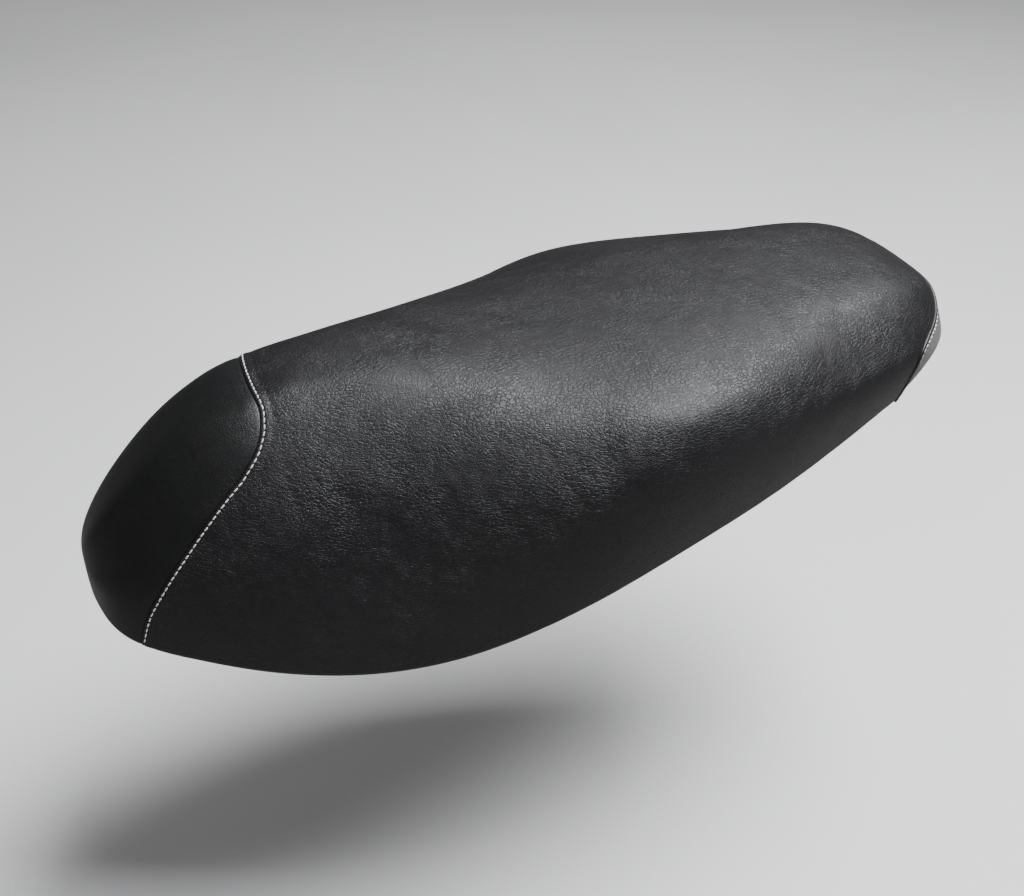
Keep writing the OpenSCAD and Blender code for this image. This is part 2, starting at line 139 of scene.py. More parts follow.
def vb(v):
    kn = [0, 0, 0, 0, 1 / 3, 2 / 3, 1, 1, 1, 1]
    v = np.clip(np.asarray(v, float), 0, 1 - 1e-9)
    b = [np.where((v >= kn[i]) & (v < kn[i + 1]), 1.0, 0.0) for i in range(9)]
    for q in range(1, 4):
        nb = []
        for i in range(9 - q):
            a, c = kn[i + q] - kn[i], kn[i + q + 1] - kn[i + 1]
            t = 0
            if a > 0:
                t = t + (v - kn[i]) / a * b[i]
            if c > 0:
                t = t + (kn[i + q + 1] - v) / c * b[i + 1]
            nb.append(t)
        b = nb
    return np.stack(b, -1)


def S(u, v, net=NET):
    """Points of the outer surface. u is the station number and v the share of the way up."""
    u, v = np.broadcast_arrays(np.asarray(u, float), np.asarray(v, float))
    sh = u.shape
    k, w = ub(u.ravel())
    g = net[k[:, None] + np.arange(4)]
    return np.einsum("ni,nj,nijc->nc", w, vb(v.ravel()), g).reshape(sh + (3,))


def pchip(table):
    x = np.array([p[0] for p in table], float)
    y = np.array([p[1] for p in table], float)
    h = np.diff(x)
    d = np.diff(y) / h
    m = np.zeros_like(y)
    for i in range(1, len(x) - 1):
        if d[i - 1] * d[i] > 0:
            w1, w2 = 2 * h[i] + h[i - 1], h[i] + 2 * h[i - 1]
            m[i] = (w1 + w2) / (w1 / d[i - 1] + w2 / d[i])
    m[0] = d[0]
    m[-1] = 0

    def f(q):
        q = np.asarray(q, float)
        i = np.clip(np.searchsorted(x, q, side="right") - 1, 0, len(h) - 1)
        t = (q - x[i]) / h[i]
        return y[i] * (2 * t**3 - 3 * t * t + 1) + m[i] * h[i] * (t**3 - 2 * t * t + t) + y[i + 1] * (-2 * t**3 + 3 * t * t) + m[i + 1] * h[i] * (t**3 - t * t)

    return f


nose_u = pchip(NOSE_SEAM)
tail_u = pchip(TAIL_SEAM)
PANELS = {
    "nose": (lambda v: 0 * v, nose_u),
    "main": (nose_u, tail_u),
    "tail": (tail_u, lambda v: 0 * v + NS),
}


def u_of(panel, s, v):
    a, b = PANELS[panel]
    return a(v) + (b(v) - a(v)) * s


FC = np.array([FLOOR[1]] + FLOOR + [FLOOR[-1]], float)


def floor_z(u):
    k, w = ub(u)
    return (w * FC[k[..., None] + np.arange(4)]).sum(-1) + DZ


def rim(u):
    return S(u, np.zeros_like(np.asarray(u, float)))


def pan_pt(u, r):
    """Point of the pan: share of rim width, share of length, from the rim (0) or the floor line (1), height."""
    u = np.asarray(u, float)
    p = rim(u)
    z = (p[..., 2] if r[2] == 0 else floor_z(u)) + r[3]
    return np.stack([p[..., 0] * r[0], (p[..., 1] - DY) * r[1] + DY, z], -1)


# ---------------------------------------------------------------- smooth noise, seeded
def lattice(seed):
    return np.random.RandomState(seed).uniform(-1, 1, (32, 32, 32))


LAT = [lattice(s) for s in (11, 23, 37, 51)]


def vnoise(p, size, k=0):
    """Smooth noise from -1 to 1 at points p, with cells of that size in mm."""
    q = np.asarray(p, float) / size + 100.3
    i = np.floor(q).astype(int)
    f = q - i
    f = f * f * f * (f * (f * 6 - 15) + 10)
    out = 0
    g = LAT[k]
    for dx in (0, 1):
        for dy in (0, 1):
            for dz in (0, 1):
                w = (f[..., 0] if dx else 1 - f[..., 0]) * (f[..., 1] if dy else 1 - f[..., 1]) * (f[..., 2] if dz else 1 - f[..., 2])
                out = out + w * g[(i[..., 0] + dx) % 32, (i[..., 1] + dy) % 32, (i[..., 2] + dz) % 32]
    return out


def smooth(x, a, b):
    t = np.clip((x - a) / (b - a), 0, 1)
    return t * t * (3 - 2 * t)


def bumpf(x, c, w):
    return np.exp(-(((x - c) / w) ** 2))


# ---------------------------------------------------------------- mesh helpers
COL = bpy.context.scene.collection


def mesh_object(name, verts_mm, faces, mats, face_mats=None, sharp=None, uv=None):
    me = bpy.data.meshes.new(name)
    v = np.asarray(verts_mm, float) / 1000.0
    me.from_pydata([tuple(p) for p in v.tolist()], [], [tuple(f) for f in faces])
    me.validate()
    me.update()
    for p in me.polygons:
        p.use_smooth = True
    if sharp is not None:
        me.set_sharp_from_angle(angle=math.radians(sharp))
    for m in mats if isinstance(mats, (list, tuple)) else [mats]:
        me.materials.append(m)
    if face_mats is not None and len(face_mats) == len(me.polygons):
        me.polygons.foreach_set("material_index", face_mats)
    ob = bpy.data.objects.new(name, me)
    COL.objects.link(ob)
    return ob


def weld(ob, dist=2e-6):
    import bmesh

    bm = bmesh.new()
    bm.from_mesh(ob.data)
    bmesh.ops.remove_doubles(bm, verts=bm.verts, dist=dist)
    bad = [f for f in bm.faces if f.calc_area() < 1e-13]
    if bad:
        bmesh.ops.dissolve_degenerate(bm, dist=1e-6, edges=bm.edges)
    bm.to_mesh(ob.data)
    bm.free()
    for p in ob.data.polygons:
        p.use_smooth = True


class Shape:
    """Vertices and faces of several solids gathered into one mesh, in millimetres."""

    def __init__(self):
        self.v, self.f, self.m = [], [], []
        self.n = 0
        self.mat = 0

    def add(self, verts, faces):
        verts = np.asarray(verts, float).reshape(-1, 3)
        self.v.append(verts)
        self.f += [tuple(int(i) + self.n for i in f) for f in faces]
        self.m += [self.mat] * len(faces)
        self.n += len(verts)

    def grid(self, g, close_u=False, close_v=False, flip=False):
        nu, nv = g.shape[:2]
        faces = []
        for i in range(nu if close_u else nu - 1):
            for j in range(nv if close_v else nv - 1):
                a, b = i * nv + j, i * nv + (j + 1) % nv
                c, d = ((i + 1) % nu) * nv + (j + 1) % nv, ((i + 1) % nu) * nv + j
                faces.append((a, d, c, b) if flip else (a, b, c, d))
        self.add(g.reshape(-1, 3), faces)

    def lathe(self, prof, n=40, axis="z", at=(0, 0, 0), wobble=None, sign=1):
        """Solid of revolution. prof is (radius, height) from one end of the axis to the other."""
        prof = list(prof)
        a = np.arange(n) * 2 * math.pi / n
        verts, faces, rings = [], [], []
        for r, h in prof:
            if r < 1e-6:
                rings.append([len(verts)])
                verts.append((0, 0, h))
            else:
                rr = r * (1 + (wobble(a, r, h) if wobble else 0))
                rings.append(list(range(len(verts), len(verts) + n)))
                verts += [(float(x), float(y), h) for x, y in zip(rr * np.cos(a), rr * np.sin(a))]
        for r0, r1 in zip(rings, rings[1:]):
            for k in range(n):
                k2 = (k + 1) % n
                if len(r0) == 1 and len(r1) == 1:
                    continue
                if len(r0) == 1:
                    faces.append((r0[0], r1[k2], r1[k]))
                elif len(r1) == 1:
                    faces.append((r0[k], r0[k2], r1[0]))
                else:
                    faces.append((r0[k], r0[k2], r1[k2], r1[k]))
        if len(rings[0]) > 1 and len(rings[-1]) > 1 and prof[0] == prof[-1]:
            pass
        v = np.array(verts, float)
        v[:, 2] *= sign
        if sign < 0:
            faces = [f[::-1] for f in faces]
        if axis == "x":
            v = v[:, [2, 0, 1]]
        elif axis == "y":
            v = v[:, [1, 2, 0]]
        self.add(v + np.array(at, float), faces)

    def sweep(self, path, sec, cap=True, up=(0, 0, 1), scale=None):
        """Tube of closed section sec, a list of (side, up) offsets, along path, with frames carried along it."""
        p = np.asarray(path, float)
        m = len(p)
        t = unit(np.gradient(p, axis=0))
        x = np.cross(t[0], up)
        if np.linalg.norm(x) < 1e-3:
            x = np.cross(t[0], (0.3, 1, 0))
        x = x / np.linalg.norm(x)
        sec = np.asarray(sec, float)
        rings = []
        for i in range(m):
            x = x - t[i] * (x @ t[i])
            x = x / np.linalg.norm(x)
            y = np.cross(x, t[i])
            k = 1.0 if scale is None else scale[i]
            rings.append(p[i] + k * (sec[:, :1] * x + sec[:, 1:2] * y))
        g = np.array(rings)
        n = g.shape[1]
        faces = [(i * n + j, i * n + (j + 1) % n, (i + 1) * n + (j + 1) % n, (i + 1) * n + j) for i in range(m - 1) for j in range(n)]
        if cap:
            faces += [tuple(range(n))[::-1], tuple((m - 1) * n + j for j in range(n))]
        self.add(g.reshape(-1, 3), faces)

    def rod(self, path, r, n=16, round_end=True, up=(0, 0, 1)):
        a = np.arange(n) * 2 * math.pi / n
        path = np.asarray(path, float)
        if round_end:
            t0, t1 = unit(path[0] - path[1]), unit(path[-1] - path[-2])
            e = r * 0.35
            path = np.concatenate([[path[0] - t0 * 0.02], path[1:-1], [path[-1] - t1 * 0.02]])
            pre = [path[0] + t0 * e, path[0] + t0 * e * 0.7, path[0]]
            post = [path[-1], path[-1] + t1 * e * 0.7, path[-1] + t1 * e]
            full = np.concatenate([pre, path[1:-1], post])
            sc = [0.6, 0.88, 1.0] + [1.0] * (len(path) - 2) + [1.0, 0.88, 0.6]
        else:
            full, sc = path, [1.0] * len(path)
        self.sweep(full, np.stack([r * np.cos(a), r * np.sin(a)], 1), scale=sc, up=up)

    def make(self, name, mats, sharp=35):
        import bmesh

        ob = mesh_object(name, np.concatenate(self.v), self.f, mats, self.m if isinstance(mats, (list, tuple)) else None)
        bm = bmesh.new()
        bm.from_mesh(ob.data)
        bmesh.ops.remove_doubles(bm, verts=bm.verts, dist=3e-6)
        bmesh.ops.dissolve_degenerate(bm, dist=1e-7, edges=bm.edges)
        bmesh.ops.recalc_face_normals(bm, faces=bm.faces)
        bm.to_mesh(ob.data)
        bm.free()
        for p in ob.data.polygons:
            p.use_smooth = True
        if sharp is not None:
            ob.data.set_sharp_from_angle(angle=math.radians(sharp))
        return ob


def fillet(pts, r, seg=4, closed=False):
    """Round the corners of a 2-D or 3-D polyline with arcs near radius r (one number, or one a point)."""
    p = [np.array(q, float) for q in pts]
    n = len(p)
    rs = [r] * n if np.isscalar(r) else list(r)
    out = []
    for i in range(n):
        if (not closed and i in (0, n - 1)) or rs[i] <= 0:
            out.append(p[i])
            continue
        a, b = p[i - 1] - p[i], p[(i + 1) % n] - p[i]
        la, lb = np.linalg.norm(a), np.linalg.norm(b)
        if la < 1e-9 or lb < 1e-9:
            out.append(p[i])
            continue
        ang = math.acos(float(np.clip(a @ b / la / lb, -1, 1)))
        cut = min(rs[i] / max(math.tan(ang / 2), 1e-3), 0.48 * la, 0.48 * lb)
        s, e = p[i] + a / la * cut, p[i] + b / lb * cut
        w = math.sin(ang / 2)
        for k in range(seg + 1):
            t = k / seg
            b0, b1, b2 = (1 - t) ** 2, 2 * t * (1 - t) * w, t * t
            out.append((b0 * s + b1 * p[i] + b2 * e) / (b0 + b1 + b2))
    return out


def prof(pts, r=0.4, seg=3):
    return [(float(q[0]), float(q[1])) for q in fillet(pts, r, seg)]


def to_mm(p):
    """Design layout to row frame."""
    return np.asarray(p, float) + np.array([0, DY, DZ])


# ---------------------------------------------------------------- materials
class Mat:
    def __init__(self, name, color=(0.5, 0.5, 0.5), rough=0.5, metal=0.0, spec=0.5, ior=1.5, coat=0.0, coat_rough=0.2, sheen=0.0, sheen_rough=0.5, sub=0.0):
        m = bpy.data.materials.new(name)
        m.use_nodes = True
        self.m, self.t = m, m.node_tree
        self.t.nodes.clear()
        out = self.t.nodes.new("ShaderNodeOutputMaterial")
        self.b = self.t.nodes.new("ShaderNodeBsdfPrincipled")
        self.t.links.new(self.b.outputs["BSDF"], out.inputs["Surface"])
        i = self.b.inputs
        i["Base Color"].default_value = (*color, 1)
        i["Roughness"].default_value = rough
        i["Metallic"].default_value = metal
        i["Specular IOR Level"].default_value = spec
        i["IOR"].default_value = ior
        i["Coat Weight"].default_value = coat
        i["Coat Roughness"].default_value = coat_rough
        i["Sheen Weight"].default_value = sheen
        i["Sheen Roughness"].default_value = sheen_rough
        i["Subsurface Weight"].default_value = sub
        if sub:
            i["Subsurface Radius"].default_value = (0.004, 0.003, 0.002)
            i["Subsurface Scale"].default_value = 1.0
        self.co = self.node("ShaderNodeTexCoord").outputs["Object"]

    def node(self, kind, **props):
        n = self.t.nodes.new(kind)
        for k, v in props.items():
            setattr(n, k, v)
        return n

    def put(self, sock, val):
        if isinstance(val, bpy.types.NodeSocket):
            self.t.links.new(val, sock)
        elif isinstance(val, (tuple, list)) and len(val) == 3 and sock.type == "RGBA":
            sock.default_value = (*val, 1)
        else:
            sock.default_value = val

    def math(self, op, a, b=None, c=None, clamp=False):
        n = self.node("ShaderNodeMath", operation=op, use_clamp=clamp)
        for k, v in enumerate((a, b, c)):
            if v is not None:
                self.put(n.inputs[k], v)
        return n.outputs[0]

    def vmath(self, op, a, b=None, s=None):
        n = self.node("ShaderNodeVectorMath", operation=op)
        self.put(n.inputs[0], a)
        if b is not None:
            self.put(n.inputs[1], b)
        if s is not None:
            self.put(n.inputs["Scale"], s)
        return n.outputs[0]

    def xyz(self, v=None):
        n = self.node("ShaderNodeSeparateXYZ")
        self.put(n.inputs[0], self.co if v is None else v)
        return n.outputs

    def noise(self, scale, detail=2.0, rough=0.5, dist=0.0, co=None, color=False, lac=2.0):
        n = self.node("ShaderNodeTexNoise")
        self.put(n.inputs["Vector"], self.co if co is None else co)
        n.inputs["Scale"].default_value = scale
        n.inputs["Detail"].default_value = detail
        n.inputs["Roughness"].default_value = rough
        n.inputs["Lacunarity"].default_value = lac
        n.inputs["Distortion"].default_value = dist
        return n.outputs["Color" if color else "Fac"]

    def vor(self, scale, feature="F1", rand=1.0, co=None, out="Distance"):
        n = self.node("ShaderNodeTexVoronoi", feature=feature)
        self.put(n.inputs["Vector"], self.co if co is None else co)
        n.inputs["Scale"].default_value = scale
        n.inputs["Randomness"].default_value = rand
        return n.outputs[out]

    def map(self, v, a, b, c=0.0, d=1.0, kind="LINEAR"):
        n = self.node("ShaderNodeMapRange", interpolation_type=kind, clamp=True) if kind != "LINEAR" else self.node("ShaderNodeMapRange", clamp=True)
        self.put(n.inputs["Value"], v)
        for k, x in zip(("From Min", "From Max", "To Min", "To Max"), (a, b, c, d)):
            n.inputs[k].default_value = x
        return n.outputs["Result"]

    def mix(self, f, a, b, mode="MIX"):
        n = self.node("ShaderNodeMix", data_type="RGBA", blend_type=mode)
        self.put(n.inputs[0], f)
        self.put(n.inputs[6], a)
        self.put(n.inputs[7], b)
        return n.outputs[2]

    def stretch(self, s, co=None, rot=None):
        n = self.node("ShaderNodeMapping")
        self.put(n.inputs["Vector"], self.co if co is None else co)
        n.inputs["Scale"].default_value = s
        if rot:
            n.inputs["Rotation"].default_value = rot
        return n.outputs[0]

    def warp(self, scale, amount, co=None, detail=2.0):
        base = self.co if co is None else co
        c = self.noise(scale, detail, co=base, color=True)
        c = self.vmath("SUBTRACT", c, (0.5, 0.5, 0.5))
        return self.vmath("ADD", base, self.vmath("SCALE", c, s=amount))

    def bump(self, h, dist, strength=1.0, normal=None):
        n = self.node("ShaderNodeBump")
        n.inputs["Strength"].default_value = strength
        n.inputs["Distance"].default_value = dist
        self.put(n.inputs["Height"], h)
        if normal is not None:
            self.put(n.inputs["Normal"], normal)
        return n.outputs[0]

    def set(self, **kw):
        names = {"color": "Base Color", "rough": "Roughness", "normal": "Normal", "metal": "Metallic"}
        for k, v in kw.items():
            self.put(self.b.inputs[names[k]], v)
        return self


def vinyl(name, base, dark, rough, cell, depth, fine, spec=0.5, coat=0.0, stretch=(1.0, 0.7, 1.25)):
    """Grained upholstery vinyl: pebbles between warped creases, a finer net of wrinkles, and dusty zones."""
    m = Mat(name, spec=spec, coat=coat, coat_rough=0.32)
    w = m.warp(38, 0.010, detail=2.0)
    w = m.stretch(stretch, w)
    w2 = m.warp(300, 0.0016, co=w, detail=2.0)
    e1 = m.vor(1000.0 / cell, "DISTANCE_TO_EDGE", 1.0, w2)
    c1 = m.map(e1, 0.0, 0.16, kind="SMOOTHSTEP")
    e2 = m.vor(2350.0 / cell, "DISTANCE_TO_EDGE", 1.0, m.warp(700, 0.0006, co=w))
    c2 = m.map(e2, 0.0, 0.2, kind="SMOOTHSTEP")
    n3 = m.noise(3600, 3.0, 0.6)
    # Creases run deeper in some patches than in others
    patch = m.map(m.noise(26, 3.0, 0.55), 0.35, 0.68, 0.35, 1.0)
    dome = m.map(m.vor(1000.0 / cell, "F1", 1.0, w2), 0.0, 0.7, 1.0, 0.0)
    h = m.math("MULTIPLY", m.math("ADD", m.math("MULTIPLY", c1, 0.62), m.math("MULTIPLY", dome, 0.22)), patch)
    h = m.math("ADD", h, m.math("MULTIPLY", c2, fine))
    h = m.math("ADD", h, m.math("MULTIPLY", n3, 0.10))
    n = m.bump(h, depth)
    tone = m.map(m.noise(9, 4.0, 0.6), 0.3, 0.7)
    col = m.mix(tone, dark, base)
    # Painted shade: the grain's creases are darkened in colour
    crease_shade = m.math("MULTIPLY", m.math("SUBTRACT", 1.0, c1), 0.55)
    col = m.mix(crease_shade, col, tuple(x * 0.55 for x in dark))
    cell_v = m.vor(1000.0 / cell, "F1", 1.0, w2, out="Color")
    col = m.mix(m.math("MULTIPLY", m.xyz(cell_v)[0], 0.16), col, tuple(min(1, x * 2.1 + 0.004) for x in base))
    # Fine scuffs where the cover is sat on and climbed over
    z = m.xyz()[2]
    top = m.map(z, 0.12, 0.18)
    sc = m.noise(55, 6.0, 0.72, co=m.stretch((1.0, 0.16, 1.0)))
    scuff = m.math("MULTIPLY", m.map(sc, 0.57, 0.74), m.math("MULTIPLY", top, 0.28))
    col = m.mix(scuff, col, tuple(x * 2.0 + 0.006 for x in base))
    r = m.map(m.noise(14, 4.0, 0.62), 0.3, 0.7, rough - 0.045, rough + 0.055)
    r = m.math("ADD", r, m.math("MULTIPLY", m.math("SUBTRACT", 1.0, c1), 0.10))
    r = m.math("ADD", r, m.math("MULTIPLY", scuff, 0.12), clamp=True)
    return m.set(color=col, rough=r, normal=n).m


def tail_cloth(name):
    """Light grey textured vinyl: a fine woven emboss, heathered in two tones."""
    m = Mat(name, spec=0.35, sheen=0.12, sheen_rough=0.4)
    p = m.warp(120, 0.0012)
    x, y, z = m.xyz(p)
    a = m.math("SINE", m.math("MULTIPLY", m.math("ADD", x, m.math("MULTIPLY", z, 0.35)), 2 * math.pi / 0.0017))
    b = m.math("SINE", m.math("MULTIPLY", m.math("ADD", m.math("MULTIPLY", y, 0.8), m.math("MULTIPLY", z, -0.9)), 2 * math.pi / 0.0015))
    weave = m.math("MULTIPLY", a, b)
    weave = m.map(weave, -1.0, 1.0)
    fleck = m.noise(700, 3.0, 0.7, co=m.stretch((1.6, 0.6, 0.6)))
    h = m.math("ADD", m.math("MULTIPLY", weave, 0.7), m.math("MULTIPLY", fleck, 0.5))
    f = m.map(fleck, 0.33, 0.66)
    col = m.mix(f, (0.045, 0.045, 0.042), (0.13, 0.13, 0.119))
    # Painted shade: the low parts of the woven emboss are darkened
    col = m.mix(m.math("MULTIPLY", m.math("SUBTRACT", 1.0, weave), 0.45), col, (0.032, 0.032, 0.030))
    col = m.mix(m.map(m.noise(30, 4.0), 0.4, 0.75, 0.0, 0.3), col, (0.055, 0.053, 0.046))
    r = m.map(m.noise(40, 3.0), 0.3, 0.7, 0.58, 0.72)
    return m.set(color=col, rough=r, normal=m.bump(h, 0.00028)).m


def thread_mat(name):
    m = Mat(name, spec=0.4, sheen=0.35, sheen_rough=0.4)
    f = m.noise(2600, 3.0, 0.7)
    big = m.noise(60, 3.0)
    col = m.mix(m.map(f, 0.3, 0.7), (0.46, 0.45, 0.43), (0.80, 0.79, 0.77))
    col = m.mix(m.map(big, 0.45, 0.72, 0.0, 0.35), col, (0.36, 0.34, 0.31))
    return m.set(color=col, rough=m.map(f, 0.2, 0.8, 0.5, 0.68), normal=m.bump(f, 0.00008)).m


def foam_mat(name):
    m = Mat(name, spec=0.2, sub=0.08)
    e = m.vor(900, "DISTANCE_TO_EDGE", 1.0, m.warp(200, 0.002))
    pore = m.map(e, 0.0, 0.25, kind="SMOOTHSTEP")
    n2 = m.noise(300, 4.0, 0.7)
    # Painted shade: the pore hollows are darker than the cell walls between them
    col = m.mix(pore, (0.86, 0.80, 0.60), (0.62, 0.54, 0.34))
    col = m.mix(m.map(m.noise(12, 4.0), 0.35, 0.7, 0.0, 0.45), col, (0.72, 0.60, 0.36))
    h = m.math("SUBTRACT", m.math("MULTIPLY", n2, 0.6), m.math("MULTIPLY", pore, 0.5))
    return m.set(color=col, rough=m.map(n2, 0.3, 0.7, 0.85, 0.98), normal=m.bump(h, 0.0005)).m


def moulded(name, base, rough, grain=0.00012, scale=900, spec=0.5):
    """Moulded black plastic or rubber: fine spark-eroded texture, flow marks and patches of dust."""
    m = Mat(name, spec=spec)
    g = m.noise(scale, 4.0, 0.65)
    flow = m.noise(18, 4.0, 0.6, 1.2, co=m.stretch((1.0, 0.35, 1.0)))
    dust = m.map(m.noise(35, 6.0, 0.7), 0.5, 0.78, 0.0, 0.35)
    col = m.mix(m.map(flow, 0.3, 0.7), tuple(x * 0.8 for x in base), tuple(x * 1.25 for x in base))
    col = m.mix(m.map(g, 0.35, 0.75, 0.0, 0.4), col, tuple(x * 1.7 for x in base))
    col = m.mix(dust, col, tuple(min(1.0, x * 1.8 + 0.02) for x in base))
    r = m.math("ADD", m.map(g, 0.3, 0.7, rough - 0.08, rough + 0.06), m.math("MULTIPLY", dust, 0.25), clamp=True)
    h = m.math("ADD", g, m.math("MULTIPLY", flow, 0.3))
    return m.set(color=col, rough=r, normal=m.bump(h, grain)).m


def steel(name, base, tint, rough, stain=(0.20, 0.13, 0.07), stain_amount=0.25, brush=(1, 1, 1), spangle=0.0):
    """Plated or bare steel: brushed marks, blotchy plating, light handling scratches and a little tarnish."""
    m = Mat(name, metal=1.0)
    b = m.noise(1400, 3.0, 0.6, co=m.stretch(brush))
    blot = m.noise(45, 5.0, 0.62)
    sc = m.noise(240, 4.0, 0.75, 0.6, co=m.stretch((1.0, 0.08, 1.0), rot=(0, 0, 0.5)))
    col = m.mix(m.map(blot, 0.32, 0.7), base, tint)
    if spangle:
        v = m.vor(160, "F1", 1.0, m.warp(60, 0.003), out="Color")
        col = m.mix(m.math("MULTIPLY", m.xyz(v)[0], spangle), col, tuple(x * 0.55 for x in base))
    st = m.math("MULTIPLY", m.map(m.noise(90, 7.0, 0.75), 0.60, 0.80), stain_amount)
    col = m.mix(st, col, stain)
    r = m.math("ADD", m.map(b, 0.25, 0.75, rough - 0.07, rough + 0.08), m.math("MULTIPLY", m.map(blot, 0.3, 0.75), 0.09))
    r = m.math("ADD", r, m.math("MULTIPLY", st, 0.4), clamp=True)
    r = m.math("SUBTRACT", r, m.math("MULTIPLY", m.map(sc, 0.66, 0.72), 0.10), clamp=True)
    h = m.math("ADD", m.math("MULTIPLY", b, 0.6), m.math("MULTIPLY", m.map(sc, 0.64, 0.72), -0.5))
    return m.set(color=col, rough=r, normal=m.bump(h, 0.00003)).m


def ecoat(name):
    """Black coated steel, worn to grey at random rubbed spots."""
    m = Mat(name, spec=0.5)
    g = m.noise(1100, 3.0, 0.6)
    wear = m.map(m.noise(120, 8.0, 0.78), 0.63, 0.70)
    col = m.mix(m.map(m.noise(30, 4.0), 0.3, 0.7), (0.012, 0.012, 0.013), (0.024, 0.024, 0.026))
    col = m.mix(m.math("MULTIPLY", wear, 0.5), col, (0.22, 0.21, 0.20))
    r = m.math("ADD", m.map(g, 0.3, 0.7, 0.30, 0.42), m.math("MULTIPLY", wear, 0.1))
    mt = m.math("MULTIPLY", wear, 0.5)
    return m.set(color=col, rough=r, metal=mt, normal=m.bump(m.math("SUBTRACT", g, m.math("MULTIPLY", wear, 0.8)), 0.00006)).m


MAIN = vinyl("vinyl_main", (0.0070, 0.0068, 0.0082), (0.0044, 0.0042, 0.0051), 0.40, 2.5, 0.00030, 0.24, spec=0.5)
NOSE = vinyl("vinyl_nose", (0.0062, 0.0064, 0.0068), (0.0040, 0.0042, 0.0044), 0.40, 1.5, 0.00012, 0.14, spec=0.45, stretch=(1, 1, 1))
TAIL = tail_cloth("vinyl_tail")
WELT = vinyl("piping", (0.010, 0.010, 0.0105), (0.006, 0.006, 0.0065), 0.34, 1.1, 0.00008, 0.1, stretch=(1, 1, 1))
THREAD = thread_mat("thread")
FOAM = foam_mat("foam")
PAN = moulded("pan", (0.022, 0.022, 0.0235), 0.52)
RUBBER = moulded("rubber", (0.016, 0.016, 0.016), 0.74, grain=0.00016, scale=1300, spec=0.4)
NYLON = moulded("nylon", (0.62, 0.60, 0.53), 0.36, grain=0.00005)
STAPLE = steel("staple", (0.62, 0.62, 0.64), (0.48, 0.48, 0.50), 0.30, stain_amount=0.2)
ZINC = steel("zinc_steel", (0.56, 0.57, 0.60), (0.42, 0.44, 0.49), 0.30, spangle=0.25)
SPRING = steel("spring_steel", (0.10, 0.10, 0.115), (0.06, 0.06, 0.07), 0.32, stain_amount=0.15)
YELLOW = steel("yellow_zinc", (0.62, 0.50, 0.24), (0.50, 0.50, 0.38), 0.28, stain=(0.22, 0.30, 0.20), stain_amount=0.4)
BRASS = steel("brass", (0.72, 0.50, 0.20), (0.62, 0.42, 0.16), 0.26, stain=(0.25, 0.14, 0.05), stain_amount=0.3)
BLACK = ecoat("black_steel")

# ---------------------------------------------------------------- the cover
R_HALF = 190  # rows from rim to crown
ROLL = 3.2  # how far the vinyl rolls round the rim, mm


def spaced(length, fine0, fine1, coarse, reach=11.0, step=0.55):
    """Shares 0 to 1 along a length in mm, close together near the ends that are marked fine."""
    x, out = 0.0, [0.0]
    while x < length:
        d = min(x if fine0 else 1e9, (length - x) if fine1 else 1e9)
        x += step + (coarse - step) * float(smooth(np.array(d), reach * 0.55, reach * 3.0))
        out.append(x)
    out = np.array(out)
    return out / out[-1]


COLS = {
    "nose": spaced(185.0, False, True, 2.6),
    "main": spaced(520.0, True, True, 2.2),
    "tail": spaced(62.0, True, False, 1.6, step=0.5),
}


def seam_points(fu, n=1400):
    v = np.linspace(0, 1, n)
    return S(fu(v), v)


SEAM_NOSE = seam_points(nose_u)
SEAM_TAIL = seam_points(tail_u)


def seam_length(p):
    return np.concatenate([[0], np.cumsum(np.linalg.norm(np.diff(p, axis=0), axis=1))])


def near(points, seam):
    """Distance of each point to a seam, and how far along the seam it is, in mm."""
    kd = KDTree(len(seam))
    for i, p in enumerate(seam):
        kd.insert(p, i)
    kd.balance()
    run = seam_length(seam)
    d = np.full(len(points), 99.0)
    a = np.zeros(len(points))
    lo, hi = seam.min(0) - 62, seam.max(0) + 62
    for k in np.nonzero(np.all((points > lo) & (points < hi), axis=1))[0]:
        co, i, dist = kd.find(points[k])
        t = unit(seam[min(i + 1, len(seam) - 1)] - seam[max(i - 1, 0)])
        off = points[k] - seam[i]
        along = float(off @ t)
        d[k] = math.sqrt(max(dist * dist - along * along, 0.0))
        a[k] = run[i] + along
    return d, a


PITCH = 4.6


def profile_main_nose(d, a):
    """The main panel's folded edge along the nose seam, with its stitch line."""
    h = -1.15 * np.exp(-((d / 0.75) ** 2)) + 0.55 * smooth(d, 0.1, 1.3) * (1 - smooth(d, 4.0, 9.0))
    h -= (0.42 + 0.16 * np.cos(2 * np.pi * a / PITCH)) * bumpf(d, 2.6, 0.75)
    return h + 0.22 * smooth(d, 6, 14) * (1 - smooth(d, 22, 46))


def profile_nose(d, a):
    h = -1.15 * np.exp(-((d / 1.0) ** 2)) - 0.35 * bumpf(d, 1.8, 1.6)
    h -= (0.10 + 0.10 * np.cos(2 * np.pi * a / PITCH)) * bumpf(d, 4.4, 0.7)
    return h + 0.35 * smooth(d, 3, 10) * (1 - smooth(d, 18, 42))


def profile_main_tail(d, a):
    return -0.9 * np.exp(-((d / 1.3) ** 2)) + 0.25 * smooth(d, 1.5, 5) * (1 - smooth(d, 8, 24))


def profile_tail(d, a):
    h = -0.9 * np.exp(-((d / 1.3) ** 2)) + 0.35 * smooth(d, 1.5, 3.2) * (1 - smooth(d, 5.5, 10.0))
    return h - (0.28 + 0.12 * np.cos(2 * np.pi * a / PITCH)) * bumpf(d, 4.4, 0.7)


SIDES = {
    "nose": [(SEAM_NOSE, profile_nose)],
    "main": [(SEAM_NOSE, profile_main_nose), (SEAM_TAIL, profile_main_tail)],
    "tail": [(SEAM_TAIL, profile_tail)],
}


